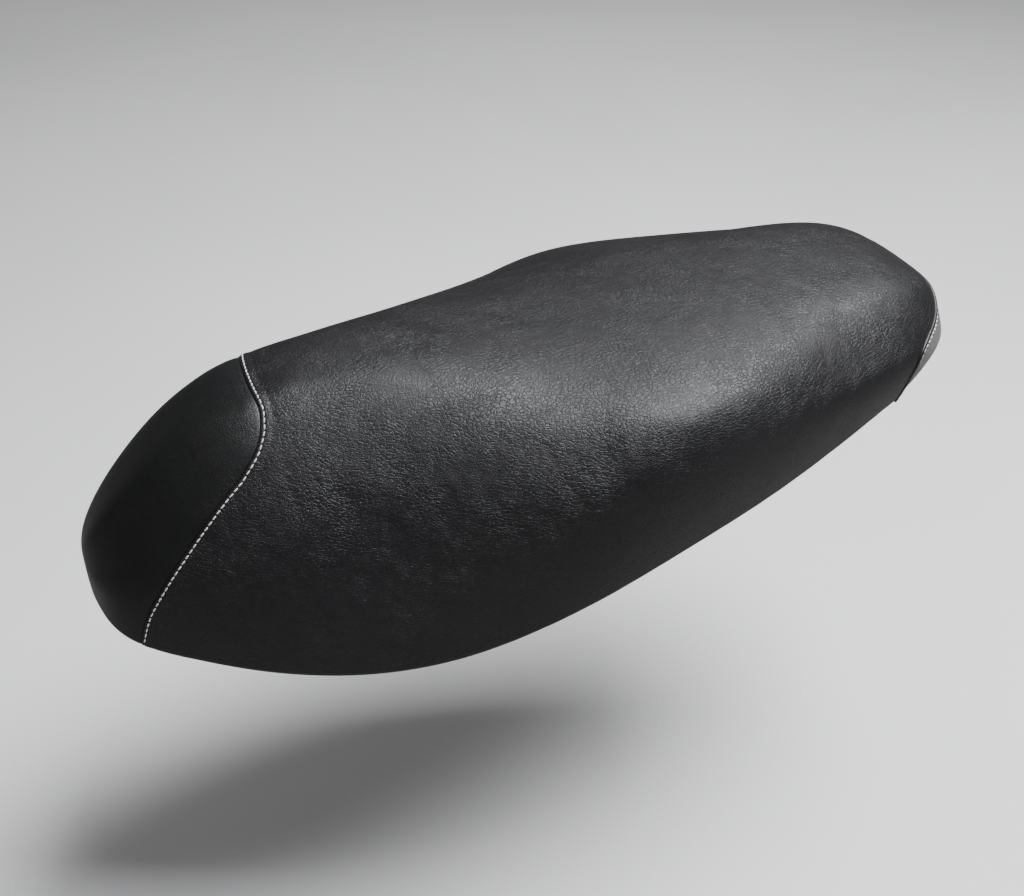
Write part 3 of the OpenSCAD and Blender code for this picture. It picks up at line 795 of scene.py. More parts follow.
def grid_normals(g):
    a, b = np.gradient(g, axis=0), np.gradient(g, axis=1)
    n = np.cross(a, b)
    l = norm(n)
    n = n / np.maximum(l, 1e-9)
    bad = l[..., 0] < 1e-7
    for c in range(g.shape[0] // 2, -1, -1):
        n[c][bad[c]] = n[min(c + 1, g.shape[0] - 1)][bad[c]]
    for c in range(g.shape[0] // 2, g.shape[0]):
        n[c][bad[c]] = n[c - 1][bad[c]]
    return n


def half_grid(panel, s, rows):
    """Half a panel from the rim's roll to the crown: rows even in length, at each share s along the panel."""
    dense = np.linspace(0, 1, 420) ** 1.15
    out = np.zeros((len(s), rows + 1, 3))
    vv = np.zeros((len(s), rows + 1))
    for i, x in enumerate(s):
        p = S(u_of(panel, x, dense), dense)
        run = seam_length(p)
        total = run[-1]
        start = min(ROLL, 0.3 * total)
        want = start + (total - start) * np.linspace(0, 1, rows + 1)
        vv[i] = np.interp(want, run, dense)
        out[i] = S(u_of(panel, x, vv[i]), vv[i])
    return out, vv


def wrinkles(p, v, rim_d):
    """Hand-made unevenness of a stretched cover, in mm: broad swells, and short pulls near the rim."""
    h = 0.45 * vnoise(p, 75, 0) + 0.16 * vnoise(p, 31, 1)
    q = p * np.array([1.0, 1.0, 0.28])
    pulls = vnoise(q, 11.0, 2) * 0.30 + vnoise(q, 6.0, 3) * 0.10
    return h + pulls * np.exp(-rim_d / 13.0)


SIM = {}


def sim_offset(panel, s, rows):
    """Offset from the cloth simulation, in mm, on a grid of shares s by full-section rows."""
    if panel not in SIM:
        return 0.0
    cs, f = SIM[panel]
    rr = np.linspace(0, 1, f.shape[1])
    want = np.linspace(0, 1, rows)
    tmp = np.stack([np.interp(want, rr, f[i]) for i in range(f.shape[0])])
    return np.stack([np.interp(s, cs, tmp[:, j]) for j in range(rows)], 1)


def skin_grid(panel, s, rows, detail=True):
    """Full section grid of one panel, left rim to right rim, without its hem."""
    half, vv = half_grid(panel, s, rows)
    nh = grid_normals(half)
    if (nh[len(s) // 2, rows // 2] @ np.array([1.0, 0, 0.4])) < 0:
        nh = -nh
    nh[:, -1, 0] = 0
    nh = unit(nh)
    h = np.zeros(half.shape[:2])
    if detail:
        flat = half.reshape(-1, 3)
        for seam, fn in SIDES[panel]:
            d, a = near(flat, seam)
            h += np.where(d < 60, fn(d, a), 0).reshape(h.shape)
    mir = np.array([-1.0, 1, 1])
    full = np.concatenate([half, half[:, -2::-1] * mir], 1)
    nf = np.concatenate([nh, nh[:, -2::-1] * mir], 1)
    hf = np.concatenate([h, h[:, -2::-1]], 1)
    run = np.concatenate([np.zeros((len(s), 1)), np.cumsum(np.linalg.norm(np.diff(half, axis=1), axis=2), 1)], 1) + ROLL
    rd = np.concatenate([run, run[:, -2::-1]], 1)
    if detail:
        taper = np.ones(len(s))
        if panel == "nose":
            taper = smooth(s, 0.0, 0.12)
        if panel == "tail":
            taper = 1 - smooth(s, 0.7, 1.0)
        seam_fade = np.ones(len(s))
        hf = hf + (wrinkles(full, None, rd) + sim_offset(panel, s, full.shape[1])) * taper[:, None] * seam_fade[:, None]
    return full + nf * hf[..., None], nf, rd, vv


# Wrinkle and swell offsets have to agree where two panels meet, so both are functions of place alone,
# and the simulated offset is pinned to nothing along the seams.


def hem_rows(panel, s, edge, up_dir, side):
    """Rows from the flank's last point round the rim's roll and under, to the stapled inner edge.
    edge is the flank's end points; up_dir is not used."""
    u = u_of(panel, s, np.zeros_like(s))
    p0 = rim(u)
    q = pan_pt(u, [0.868, 0.949, 0, 0.5])
    if side < 0:
        p0, q = p0 * [-1, 1, 1], q * [-1, 1, 1]
    hv = q - p0
    hl = norm(hv)
    hd = hv / np.maximum(hl, 1e-9)
    roll_end = p0 + hd * ROLL
    corner = p0 + 0.0
    rows = []
    for t in (0.2, 0.4, 0.6, 0.8, 1.0):
        rows.append((1 - t) ** 2 * edge + 2 * t * (1 - t) * (corner + (edge - corner) * 0.12) + t * t * roll_end)
    # Pleats gather where the rim curves most, at the nose and the tail
    curl = np.exp(-((u / 2.6) ** 2)) + np.exp(-(((NS - u) / 1.7) ** 2))
    ring = seam_length(rim(np.linspace(0, NS, 900)))
    along = np.interp(u, np.linspace(0, NS, 900), ring)
    ph = along + 4.0 * vnoise(np.stack([along, 0 * along, 0 * along + side * 7], 1), 40, 1)
    pleat = (0.5 + 0.5 * np.cos(2 * np.pi * ph / 11.5)) ** 3 * (0.25 + 1.0 * curl)
    ripple = 0.25 * vnoise(np.stack([ph, 0 * ph, 0 * ph + side * 3], 1), 9, 2)
    edge_n = 1.6 * vnoise(np.stack([along, 0 * along + 31, 0 * along + side * 5], 1), 16, 3)
    n_in = 9
    for k in range(1, n_in + 1):
        t = k / n_in
        c = roll_end + (q - roll_end) * t + hd * (edge_n * t)[:, None]
        c = c + np.array([0, 0, 1.0]) * (-(pleat * 0.75) * t + ripple * math.sin(math.pi * t) + 0.25 * t)[:, None]
        # Staples pull the hem up into the pan about two thirds of the way in
        c[:, 2] += 0.45 * math.exp(-(((t - 0.66) / 0.18) ** 2))
        rows.append(c)
    lip = rows[-1] + np.array([0, 0, 1.0]) * 1.1 + hd * 0.15
    rows.append(lip)
    return rows


def build_skin(name, panel, mat):
    s = COLS[panel]
    g, nf, rd, vv = skin_grid(panel, s, R_HALF)
    left = hem_rows(panel, s, g[:, 0], None, 1)
    right = hem_rows(panel, s, g[:, -1], None, -1)
    full = np.concatenate([np.stack(left[::-1], 1), g, np.stack(right, 1)], 1)
    nu, nv = full.shape[:2]
    idx = np.arange(nu * nv).reshape(nu, nv)
    a, b, c, d = idx[:-1, :-1], idx[1:, :-1], idx[1:, 1:], idx[:-1, 1:]
    faces = np.stack([a, b, c, d], -1).reshape(-1, 4)
    # Outward winding
    mid = faces[len(faces) // 2]
    pts = full.reshape(-1, 3)
    fn = np.cross(pts[mid[1]] - pts[mid[0]], pts[mid[3]] - pts[mid[0]])
    if fn[2] < 0:
        faces = faces[:, ::-1]
    ob = mesh_object(name, pts, faces.tolist(), mat)
    weld(ob)
    so = ob.modifiers.new("thickness", "SOLIDIFY")
    so.thickness = 0.0011
    so.offset = -1.0
    so.use_even_offset = False
    so.use_rim = True
    return ob


def apply_modifiers(ob):
    dg = bpy.context.evaluated_depsgraph_get()
    me = bpy.data.meshes.new_from_object(ob.evaluated_get(dg), preserve_all_data_layers=True, depsgraph=dg)
    ob.modifiers.clear()
    old = ob.data
    ob.data = me
    bpy.data.meshes.remove(old)
    return ob


def simulate_cover():
    """Blow the cover up gently as cloth held at its rim and seams, and keep how far each point moved outwards."""
    rows = 34
    cs = {"nose": np.linspace(0, 1, 18), "main": np.linspace(0, 1, 74), "tail": np.linspace(0, 1, 9)}
    for panel in ("nose", "main", "tail"):
        g, nf, rd, vv = skin_grid(panel, cs[panel], rows, detail=False)
        nu, nv = g.shape[:2]
        idx = np.arange(nu * nv).reshape(nu, nv)
        a, b, c, d = idx[:-1, :-1], idx[1:, :-1], idx[1:, 1:], idx[:-1, 1:]
        faces = np.stack([a, b, c, d], -1).reshape(-1, 4)
        pts = g.reshape(-1, 3)
        mid = faces[len(faces) // 2]
        fn = np.cross(pts[mid[1]] - pts[mid[0]], pts[mid[3]] - pts[mid[0]])
        if fn[2] < 0:
            faces = faces[:, ::-1]
        ob = mesh_object("sim_" + panel, pts, faces.tolist(), MAIN)
        pin = ob.vertex_groups.new(name="pin")
        hold = [int(i) for i in idx[:, 0]] + [int(i) for i in idx[:, -1]]
        hold += [int(i) for i in idx[0]] + [int(i) for i in idx[-1]]
        if panel == "nose":
            hold += [int(i) for i in idx[1]]
        if panel == "tail":
            hold += [int(i) for i in idx[-2]]
        pin.add(sorted(set(hold)), 1.0, "REPLACE")
        mod = ob.modifiers.new("cloth", "CLOTH")
        st = mod.settings
        st.vertex_group_mass = "pin"
        st.quality = 6
        st.mass = 0.4
        st.tension_stiffness = 40
        st.compression_stiffness = 30
        st.shear_stiffness = 12
        st.bending_stiffness = 6
        st.tension_damping = 10
        st.compression_damping = 10
        st.shear_damping = 8
        st.air_damping = 4
        st.use_pressure = True
        st.uniform_pressure_force = 4.0
        st.effector_weights.gravity = 0.0
        mod.collision_settings.use_self_collision = False
        mod.point_cache.frame_start = 1
        mod.point_cache.frame_end = 21
        sc = bpy.context.scene
        for f in range(1, 21):
            sc.frame_set(f)
        dg = bpy.context.evaluated_depsgraph_get()
        me = ob.evaluated_get(dg).to_mesh()
        co = np.zeros(len(me.vertices) * 3)
        me.vertices.foreach_get("co", co)
        moved = co.reshape(nu, nv, 3) * 1000.0 - g
        ob.evaluated_get(dg).to_mesh_clear()
        off = np.einsum("ijk,ijk->ij", moved, nf)
        peak = float(np.percentile(np.abs(off), 97))
        print("cloth", panel, "moved up to", round(float(np.abs(off).max()), 2), "mm, 97%", round(peak, 2))
        cap = 2.2 if panel == "main" else 1.4
        off = cap * np.tanh(off / max(peak, cap) * 1.3)
        SIM[panel] = (cs[panel], off)
        bpy.data.objects.remove(ob)
        sc.frame_set(1)


simulate_cover()

cover_main = build_skin("cover_main", "main", MAIN)
cover_nose = build_skin("cover_nose", "nose", NOSE)
cover_tail = build_skin("cover_tail", "tail", TAIL)
for ob, node, sl in ((cover_main, "cover_main_panel", "vinyl_main"), (cover_nose, "cover_nose_panel", "vinyl_nose"), (cover_tail, "cover_tail_panel", "vinyl_tail")):
    apply_modifiers(ob)
    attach(ob, "seat")
    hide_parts(node)


# ---------------------------------------------------------------- seam lines: thread and welt
def seam_path(panel, fu, dist, toward, n=1500):
    """Full path beside a seam, at that distance into the panel, with outward normals, from left rim to right rim."""
    v = np.linspace(0.0, 1, n)
    a, b = PANELS[panel]
    s0 = 0.0 if toward > 0 else 1.0
    e = 0.012
    p0 = S(u_of(panel, s0, v), v)
    p1 = S(u_of(panel, s0 + toward * e, v), v)
    t = unit(np.gradient(p0, axis=0))
    step = p1 - p0
    perp = step - t * (step * t).sum(1, keepdims=True)
    rate = np.maximum(norm(perp)[:, 0] / e, 1e-3)
    s = s0 + toward * dist / rate
    u = u_of(panel, s, v)
    p = S(u, v)
    du = 0.01
    pu = S(np.clip(u + du, 0, NS), v) - S(np.clip(u - du, 0, NS), v)
    pv = S(u, np.clip(v + 0.002, 0, 1)) - S(u, np.clip(v - 0.002, 0, 1))
    nrm = unit(np.cross(pu, pv))
    nrm *= np.sign((nrm * (p - np.array([0.0, 281.0, 60.0]))).sum(1, keepdims=True))
    nrm[-1, 0] = 0
    nrm = unit(nrm)
    mir = np.array([-1.0, 1, 1])
    rdist = np.concatenate([seam_length(p), seam_length(p)[-2::-1]])
    full = np.concatenate([p, p[-2::-1] * mir])
    nf = np.concatenate([nrm, nrm[-2::-1] * mir])
    sim = 0.0
    h = wrinkles(full, None, rdist + 0.5)
    if panel in SIM:
        cs, f = SIM[panel]
        sm = float(np.mean(s))
        rowv = np.array([np.interp(sm, cs, f[:, j]) for j in range(f.shape[1])])
        run = seam_length(full)
        sim = np.interp(run / run[-1], np.linspace(0, 1, f.shape[1]), rowv)
    return full, nf, h + sim


def resample(p, n_or_step, extra=()):
    run = seam_length(p)
    n = max(2, int(round(run[-1] / n_or_step)) + 1)
    want = np.linspace(0, run[-1], n)
    f = lambda a: np.stack([np.interp(want, run, a[:, k]) for k in range(a.shape[1])], 1) if a.ndim == 2 else np.interp(want, run, a)
    return [f(p)] + [f(a) for a in extra]


def sew(name, panel, fu, dist, toward, surf_h, replaced, skip=4.0):
    """A row of lockstitches. Each is a short three-ply thread that comes up through the vinyl and goes down again."""
    p, nf, h = seam_path(panel, fu, dist, toward)
    base = p + nf * (h + surf_h)[:, None]
    run = seam_length(base)
    total = run[-1]
    lo, hi = skip, total - skip
    count = int((hi - lo) / PITCH)
    rnd = np.random.RandomState(7)
    sh = Shape()
    nr, ns = 13, 10
    ang = np.arange(ns) * 2 * math.pi / ns
    for k in range(count):
        mid = lo + (k + 0.5) * (hi - lo) / count
        half = PITCH * 0.40 + rnd.uniform(-0.08, 0.08)
        q = np.linspace(-1, 1, nr)
        pos = mid + q * half
        c = np.stack([np.interp(pos, run, base[:, j]) for j in range(3)], 1)
        nn = unit(np.stack([np.interp(pos, run, nf[:, j]) for j in range(3)], 1))
        lift = 0.42 - 1.15 * np.abs(q) ** 4 + rnd.uniform(-0.03, 0.03)
        tilt = rnd.uniform(-0.10, 0.10)
        t = unit(np.gradient(c, axis=0))
        side = unit(np.cross(t, nn))
        c = c + nn * lift[:, None] + side * (q * tilt + 0.16 * q)[:, None]
        t = unit(np.gradient(c, axis=0))
        side = unit(np.cross(t, nn))
        upv = np.cross(side, t)
        rings = []
        for i in range(nr):
            tw = q[i] * 2.6
            rad = 0.52 * (1 + 0.13 * np.cos(3 * (ang - tw))) * (1 - 0.55 * abs(q[i]) ** 8)
            rings.append(c[i] + (rad * np.cos(ang))[:, None] * side[i] + (rad * np.sin(ang))[:, None] * upv[i])
        g = np.array(rings)
        faces = [(i * ns + j, i * ns + (j + 1) % ns, (i + 1) * ns + (j + 1) % ns, (i + 1) * ns + j) for i in range(nr - 1) for j in range(ns)]
        faces += [tuple(range(ns))[::-1], tuple((nr - 1) * ns + j for j in range(ns))]
        sh.add(g.reshape(-1, 3), faces)
    ob = sh.make(name, THREAD, sharp=None)
    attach(ob, "seat")
    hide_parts(replaced)
    return ob


nose_thread = sew("nose_thread", "main", nose_u, 2.6, 1, 1.05, "nose_stitching")
tail_thread = sew("tail_thread", "tail", tail_u, 4.4, 1, 0.06, "tail_stitching")


def build_welt():
    p, nf, h = seam_path("main", tail_u, 0.0, -1)
    base, nn = resample(p + nf * (h + 0.75)[:, None], 1.3, (nf,))
    n = 16
    a = np.arange(n) * 2 * math.pi / n
    run = seam_length(base)
    wav = 1 + 0.03 * vnoise(np.stack([run, 0 * run, 0 * run], 1), 5, 1) + 0.015 * np.cos(2 * np.pi * run / PITCH)
    sh = Shape()
    t = unit(np.gradient(base, axis=0))
    side = unit(np.cross(t, nn))
    upv = np.cross(side, t)
    rings = []
    for i in range(len(base)):
        r = 1.62 * wav[i]
        rings.append(base[i] + (r * np.cos(a))[:, None] * side[i] + (r * 0.96 * np.sin(a))[:, None] * upv[i])
    # Ends tuck under the rim
    g = np.array(rings)
    for k, e in ((0, 1), (-1, -1)):
        tdir = base[k] - base[k + e]
        tdir = tdir / np.linalg.norm(tdir)
        ends = [g[k] + tdir * 1.2 + np.array([0, 0, 0.0]), base[k] + tdir * 1.9 + (g[k] - base[k]) * 0.55]
        g = np.concatenate([[ends[1]], [ends[0]], g]) if k == 0 else np.concatenate([g, [ends[0]], [ends[1]]])
    m = len(g)
    faces = [(i * n + j, i * n + (j + 1) % n, (i + 1) * n + (j + 1) % n, (i + 1) * n + j) for i in range(m - 1) for j in range(n)]
    faces += [tuple(range(n))[::-1], tuple((m - 1) * n + j for j in range(n))]
    sh.add(g.reshape(-1, 3), faces)
    ob = sh.make("tail_welt", WELT, sharp=None)
    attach(ob, "seat")
    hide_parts("tail_piping")


build_welt()

# ---------------------------------------------------------------- foam core
NET_FOAM = make_net(2.9)
PT = [[0.90, 0.965, 0, 6.2], [0.86, 0.945, 0, 10.2], [0.79, 0.91, 1, -1.8], [0.45, 0.86, 1, 3.2], [0, 0.83, 1, 4.2]]
PB = [[0.87, 0.95, 0, 1.5], [0.835, 0.93, 0, 4], [0.765, 0.895, 1, -6.5], [0.43, 0.85, 1, -0.5], [0, 0.82, 1, 0.5]]


def round_rows(rows, rho, seg=4):
    """Rows of points, with the corner at each inner row rounded over rho mm."""
    out = [rows[0]]
    for i in range(1, len(rows) - 1):
        p, a, b = rows[i], rows[i - 1], rows[i + 1]
        la, lb = norm(a - p), norm(b - p)
        r = rho[i] if not np.isscalar(rho) else rho
        if r <= 0:
            out.append(p)
            continue
        s = p + (a - p) * np.minimum(r / np.maximum(la, 1e-6), 0.46)
        e = p + (b - p) * np.minimum(r / np.maximum(lb, 1e-6), 0.46)
        for k in range(seg + 1):
            t = k / seg
            out.append((1 - t) ** 2 * s + 2 * t * (1 - t) * p + t * t * e)
    out.append(rows[-1])
    return out


def densify(rows, step):
    """More rows between those that lie far apart."""
    out = [rows[0]]
    for a, b in zip(rows, rows[1:]):
        n = max(1, int(np.ceil(float(norm(b - a).max()) / step)))
        out += [a + (b - a) * (k / n) for k in range(1, n + 1)]
    return out


def mirror_rows(rows):
    """Half-section rows, rim to centre, to a whole section."""
    m = np.array([-1.0, 1, 1])
    return rows + [r * m for r in rows[-2::-1]]


def loop_mesh(name, loop, mats, sharp=None):
    g = np.stack(loop, 1)
    sh = Shape()
    sh.grid(g, close_v=True)
    ob = mesh_object(name, np.concatenate(sh.v), sh.f, mats)
    weld(ob)
    import bmesh

    bm = bmesh.new()
    bm.from_mesh(ob.data)
    bmesh.ops.recalc_face_normals(bm, faces=bm.faces)
    bm.to_mesh(ob.data)
    bm.free()
    if sharp is not None:
        ob.data.set_sharp_from_angle(angle=math.radians(sharp))
    return ob


def u_cols(n):
    t = np.linspace(0, 1, n + 1)
    return NS * (0.55 * t + 0.45 * (0.5 - 0.5 * np.cos(np.pi * t)))


def build_foam():
    us = u_cols(110)
    top = []
    for v in np.concatenate([np.linspace(0.035, 0.6, 26), np.linspace(0.62, 1, 22)]):
        p = S(us, np.full_like(us, v), NET_FOAM)
        top.append(p)
    # Swells a little unevenly, as moulded foam does
    for r in top:
        r += np.stack([0 * us, 0 * us, -0.25 + 0.25 * vnoise(r, 22, 2)], 1)
    bottom = round_rows([pan_pt(us, r) for r in PT], 5)
    loop = mirror_rows(top) + mirror_rows(densify(bottom, 14))[::-1]
    ob = loop_mesh("foam_core", loop, FOAM)
    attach(ob, "seat")
    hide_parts("foam_cushion")


build_foam()

# ---------------------------------------------------------------- seat pan
UG = np.linspace(0, NS, 241)
RIMG = rim(UG)
RIM_Y = RIMG[:, 1] - DY
SY = [(0, 0.82), (0.43, 0.85), (0.765, 0.895), (0.835, 0.93)]
DZB = [(0, 0.5), (0.43, -0.5), (0.765, -6.5)]


def pan_under(x, y):
    """Height of the pan's lower face at design x, y, in the row frame."""
    g = 0.4
    u = 6.0
    for _ in range(7):
        u = float(np.interp(y / np.interp(g, [q[0] for q in SY], [q[1] for q in SY]), RIM_Y, UG))
        g = min(0.765, abs(x) / max(1.0, float(np.interp(u, UG, RIMG[:, 0]))))
    return float(floor_z(np.array([u]))[0] + np.interp(g, [q[0] for q in DZB], [q[1] for q in DZB]))


HINGE_XY = [(28, -262), (28, -224)]
STRIKER_XY = [(22, 252), (22, 278)]
PADS = [(72, -190, 18, "bumpers_front"), (95, -10, 44, "bumpers_middle"), (80, 140, 88, "bumpers_rear"), (42, 262, 114, "bumpers_tail")]
STRAP = (43, 35)


def rib(sh, pts, depth=8.0, w=2.5, run_out=5.0):
    """A rib along pts (design x, y), hanging under the pan, with a filleted root, drafted sides and a rounded foot."""
    p = np.array(pts, float)
    run = np.concatenate([[0], np.cumsum(np.linalg.norm(np.diff(p, axis=0), axis=1))])
    n = int(run[-1] / 4) + 2
    want = np.linspace(0, run[-1], n)
    x, y = np.interp(want, run, p[:, 0]), np.interp(want, run, p[:, 1])
    z = np.array([pan_under(a, b) for a, b in zip(x, y)])
    # keep the foot line smooth
    k = np.array([1, 2, 3, 2, 1.0])
    zp = np.convolve(np.pad(z, 2, mode="edge"), k / k.sum(), mode="valid")
    d = np.stack([np.gradient(x), np.gradient(y)], 1)
    d /= np.maximum(np.linalg.norm(d, axis=1, keepdims=True), 1e-9)
    side = np.stack([-d[:, 1], d[:, 0]], 1)
    half = w / 2
    rows = []
    for i in range(n):
        e = min(want[i], want[-1] - want[i])
        dep = depth * min(1.0, 0.35 + 0.65 * float(smooth(np.array(e), 0, run_out)))
        sec = [(-half - 1.6, 1.2), (-half - 1.3, -0.3), (-half - 0.45, -0.75), (-half - 0.2, -1.7), (-half + 0.05, -dep + 0.7), (-half + 0.25, -dep + 0.2), (-half + 0.7, -dep), (half - 0.7, -dep), (half - 0.25, -dep + 0.2), (half - 0.05, -dep + 0.7), (half + 0.2, -1.7), (half + 0.45, -0.75), (half + 1.3, -0.3), (half + 1.6, 1.2)]
        rows.append([(x[i] + side[i, 0] * a, y[i] + DY + side[i, 1] * a, zp[i] + b) for a, b in sec])
    g = np.array(rows)
    m = g.shape[1]
    faces = [(i * m + j, i * m + (j + 1) % m, (i + 1) * m + (j + 1) % m, (i + 1) * m + j) for i in range(n - 1) for j in range(m)]
    faces += [tuple(range(m))[::-1], tuple((n - 1) * m + j for j in range(m))]
    sh.add(g.reshape(-1, 3), faces)


def boss(sh, x, y, z, d, bore, depth, gussets=0):
    """A hollow boss with a filleted root, its foot at design height z, opening downwards."""
    top = pan_under(x, y) + 1.2
    r, b = d / 2, bore / 2
    zf = z + DZ
    dp = min(depth, top - zf - 0.8)
    pts = [(0, zf + dp), (b, zf + dp), (b, zf), (r, zf), (r + 0.3, top - 2.2), (r + 2.4, top), (0, top)]
    sh.lathe([(float(q[0]), float(q[1])) for q in fillet(pts, [0, 0.3, 0.5, 0.7, 2.0, 0, 0], 3)], 36, at=(x, y + DY, 0))
    for k in range(gussets):
        a = math.pi / 4 + k * 2 * math.pi / gussets
        rows = []
        length = 7.0
        for q in np.linspace(0, 1, 6):
            rr = r - 0.6 + length * q
            gx, gy = x + rr * math.cos(a), y + rr * math.sin(a)
            zt = pan_under(gx, gy) + 1.0
            zb = zf + 3.0 + (zt - zf - 3.0) * q**1.3 if q < 1 else zt - 0.3
            zb = min(zb, zt - 0.3)
            tx, ty = -math.sin(a) * 0.9, math.cos(a) * 0.9
            rows.append([(gx - tx, gy - ty + DY, zt), (gx - tx, gy - ty + DY, zb + 0.3), (gx - tx * 0.5, gy - ty * 0.5 + DY, zb), (gx + tx * 0.5, gy + ty * 0.5 + DY, zb), (gx + tx, gy + ty + DY, zb + 0.3), (gx + tx, gy + ty + DY, zt)])
        g = np.array(rows)
        m = 6
        faces = [(i * m + j, i * m + (j + 1) % m, (i + 1) * m + (j + 1) % m, (i + 1) * m + j) for i in range(len(rows) - 1) for j in range(m)]
        faces += [tuple(range(m))[::-1], tuple((len(rows) - 1) * m + j for j in range(m))]
        sh.add(g.reshape(-1, 3), faces)


def build_pan():
    us = u_cols(170)
    net_in = make_net(COVER + 0.25)
    edge0 = S(us, np.zeros_like(us), net_in)
    edge1 = S(us, np.full_like(us, 0.028), net_in)
    top = densify(round_rows([edge0, edge1] + [pan_pt(us, r) for r in PT], [0, 0.6, 1.5, 3, 6, 20, 0], 4), 12)
    low = densify(round_rows([pan_pt(us, r) for r in PB], [0, 2.5, 6, 22, 0], 5), 12)
    loop = mirror_rows(top) + mirror_rows(low)[::-1]
    g = np.stack(loop, 1)
    sh = Shape()
    sh.grid(g, close_v=True)
    for y, hw in ((-198, 66), (-130, 92), (-60, 100), (5, 100), (75, 94), (145, 80), (210, 60)):
        rib(sh, [(-hw, y), (hw, y)])
    for sx in (-1, 1):
        rib(sh, [(sx * 30, -196), (sx * 30, 238)])
        rib(sh, [(sx * 64, -170), (sx * 64, 160)])
        rib(sh, [(sx * 46, -252), (sx * 46, -198)])
        for x, y in HINGE_XY:
            boss(sh, sx * x, y, 36, 13, 7.5, 8.4)
        for x, y in STRIKER_XY:
            boss(sh, sx * x, y, 124, 13, 7.5, 8.4)
        for x, y, z, _ in PADS:
            boss(sh, sx * x, y, z, 16, 8, 8, gussets=4)
        boss(sh, sx * STRAP[0], STRAP[1], STRAP_Z - DZ, 12, 4, 8)
    ob = mesh_object("pan_shell", np.concatenate(sh.v), sh.f, PAN)
    weld(ob, 1e-6)
    import bmesh

    bm = bmesh.new()
    bm.from_mesh(ob.data)
    bmesh.ops.recalc_face_normals(bm, faces=bm.faces)
    bm.to_mesh(ob.data)
    bm.free()
    for p in ob.data.polygons:
        p.use_smooth = True
    ob.data.set_sharp_from_angle(angle=math.radians(40))
    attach(ob, "seat")
    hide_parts("seat_pan")


STRAP_Z = float(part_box("document_strap")[1][2] * 1000.0 + 0.1)
build_pan()


# ---------------------------------------------------------------- staples
def build_staples():
    sh = Shape()
    rnd = np.random.RandomState(3)
    n = 27
    for sx in (1, -1):
        for k in range(n):
            u = 0.35 + (NS - 0.7) * k / (n - 1)
            a = pan_pt(np.array([u, u + 0.02]), [0.91, 0.965, 0, 0])
            c, t = a[0], a[1] - a[0]
            t = t / np.linalg.norm(t)
            up = np.array([0, 0, 1.0])
            side = np.cross(t, up)
            side /= np.linalg.norm(side)
            upv = np.cross(side, t)
            yaw = rnd.uniform(-0.12, 0.12)
            td = t * math.cos(yaw) + side * math.sin(yaw)
            z0 = -0.35
            pts = [(-5, 1.6), (-5, z0), (5, z0), (5, 1.6)]
            path = [c + td * q[0] + upv * q[1] for q in fillet(pts, 0.7, 4)]
            path = np.array(path)
            path[:, 0] *= sx
            s2 = np.cross(td, upv)
            sec_n = 10
            ang = np.arange(sec_n) * 2 * math.pi / sec_n
            sh.sweep(path, np.stack([0.58 * np.cos(ang), 0.40 * np.sin(ang)], 1), up=(0, 0, 1) if abs(upv[2]) > 0.2 else (1, 0, 0))
    ob = sh.make("staples", STAPLE, sharp=50)
    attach(ob, "seat")
    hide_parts("rim_staples")


build_staples()


# ---------------------------------------------------------------- steel parts, from the frame's own shapes
def finished_copy(name, node, mat, body, corner=0.0, edge=0.35, vertical=None):
    """The CAD node's own shape with its flat faces made whole, plate corners rounded and every edge broken."""
    import bmesh

    src = NODES[node]
    bm = bmesh.new()
    bm.from_mesh(src.data)
    bmesh.ops.remove_doubles(bm, verts=bm.verts, dist=2e-6)
    bmesh.ops.dissolve_limit(bm, angle_limit=math.radians(1.0), verts=bm.verts, edges=bm.edges, use_dissolve_boundaries=False)
    if corner and vertical:
        es = []
        for e in bm.edges:
            a, b = e.verts[0].co * 1000, e.verts[1].co * 1000
            if abs(a.x - b.x) < 0.02 and abs(a.y - b.y) < 0.02 and abs(a.z - b.z) > 1.0:
                if any(abs(abs(a.x) - vx) < 0.05 and min(abs(a.y - vy) for vy in vys) < 0.05 for vx, vys in vertical):
                    es.append(e)
        if es:
            bmesh.ops.bevel(bm, geom=es, offset=corner / 1000, offset_type="OFFSET", segments=6, profile=0.5, affect="EDGES")
    me = bpy.data.meshes.new(name)
    bm.to_mesh(me)
    bm.free()
    for p in me.polygons:
        p.use_smooth = True
    me.materials.append(mat)
    ob = bpy.data.objects.new(name, me)
    COL.objects.link(ob)
    bv = ob.modifiers.new("edge", "BEVEL")
    bv.width = edge / 1000
    bv.segments = 2
    bv.limit_method = "ANGLE"
    bv.angle_limit = math.radians(32)
    bv.harden_normals = False
    bv.miter_outer = "MITER_ARC"
    apply_modifiers(ob)
    for p in ob.data.polygons:
        p.use_smooth = True
    ob.data.set_sharp_from_angle(angle=math.radians(38))
    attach(ob, body)
    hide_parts(node)
    return ob


def done(ob, body, node):
    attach(ob, body)
    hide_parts(node)
    return ob


finished_copy("frame_bracket", "hinge_frame_bracket", ZINC, "hinge_base", 5.0, 0.35, [(37, (-300 + DY, -262 + DY))])
finished_copy("seat_bracket", "hinge_seat_bracket", BLACK, "seat", 6.0, 0.35, [(38, (-272 + DY, -212 + DY))])
finished_copy("latch_plate", "striker_plate", BLACK, "seat", 5.0, 0.35, [(30, (244 + DY, 286 + DY))])

HY, HZ = -285 + DY, 20 + DZ  # hinge axis


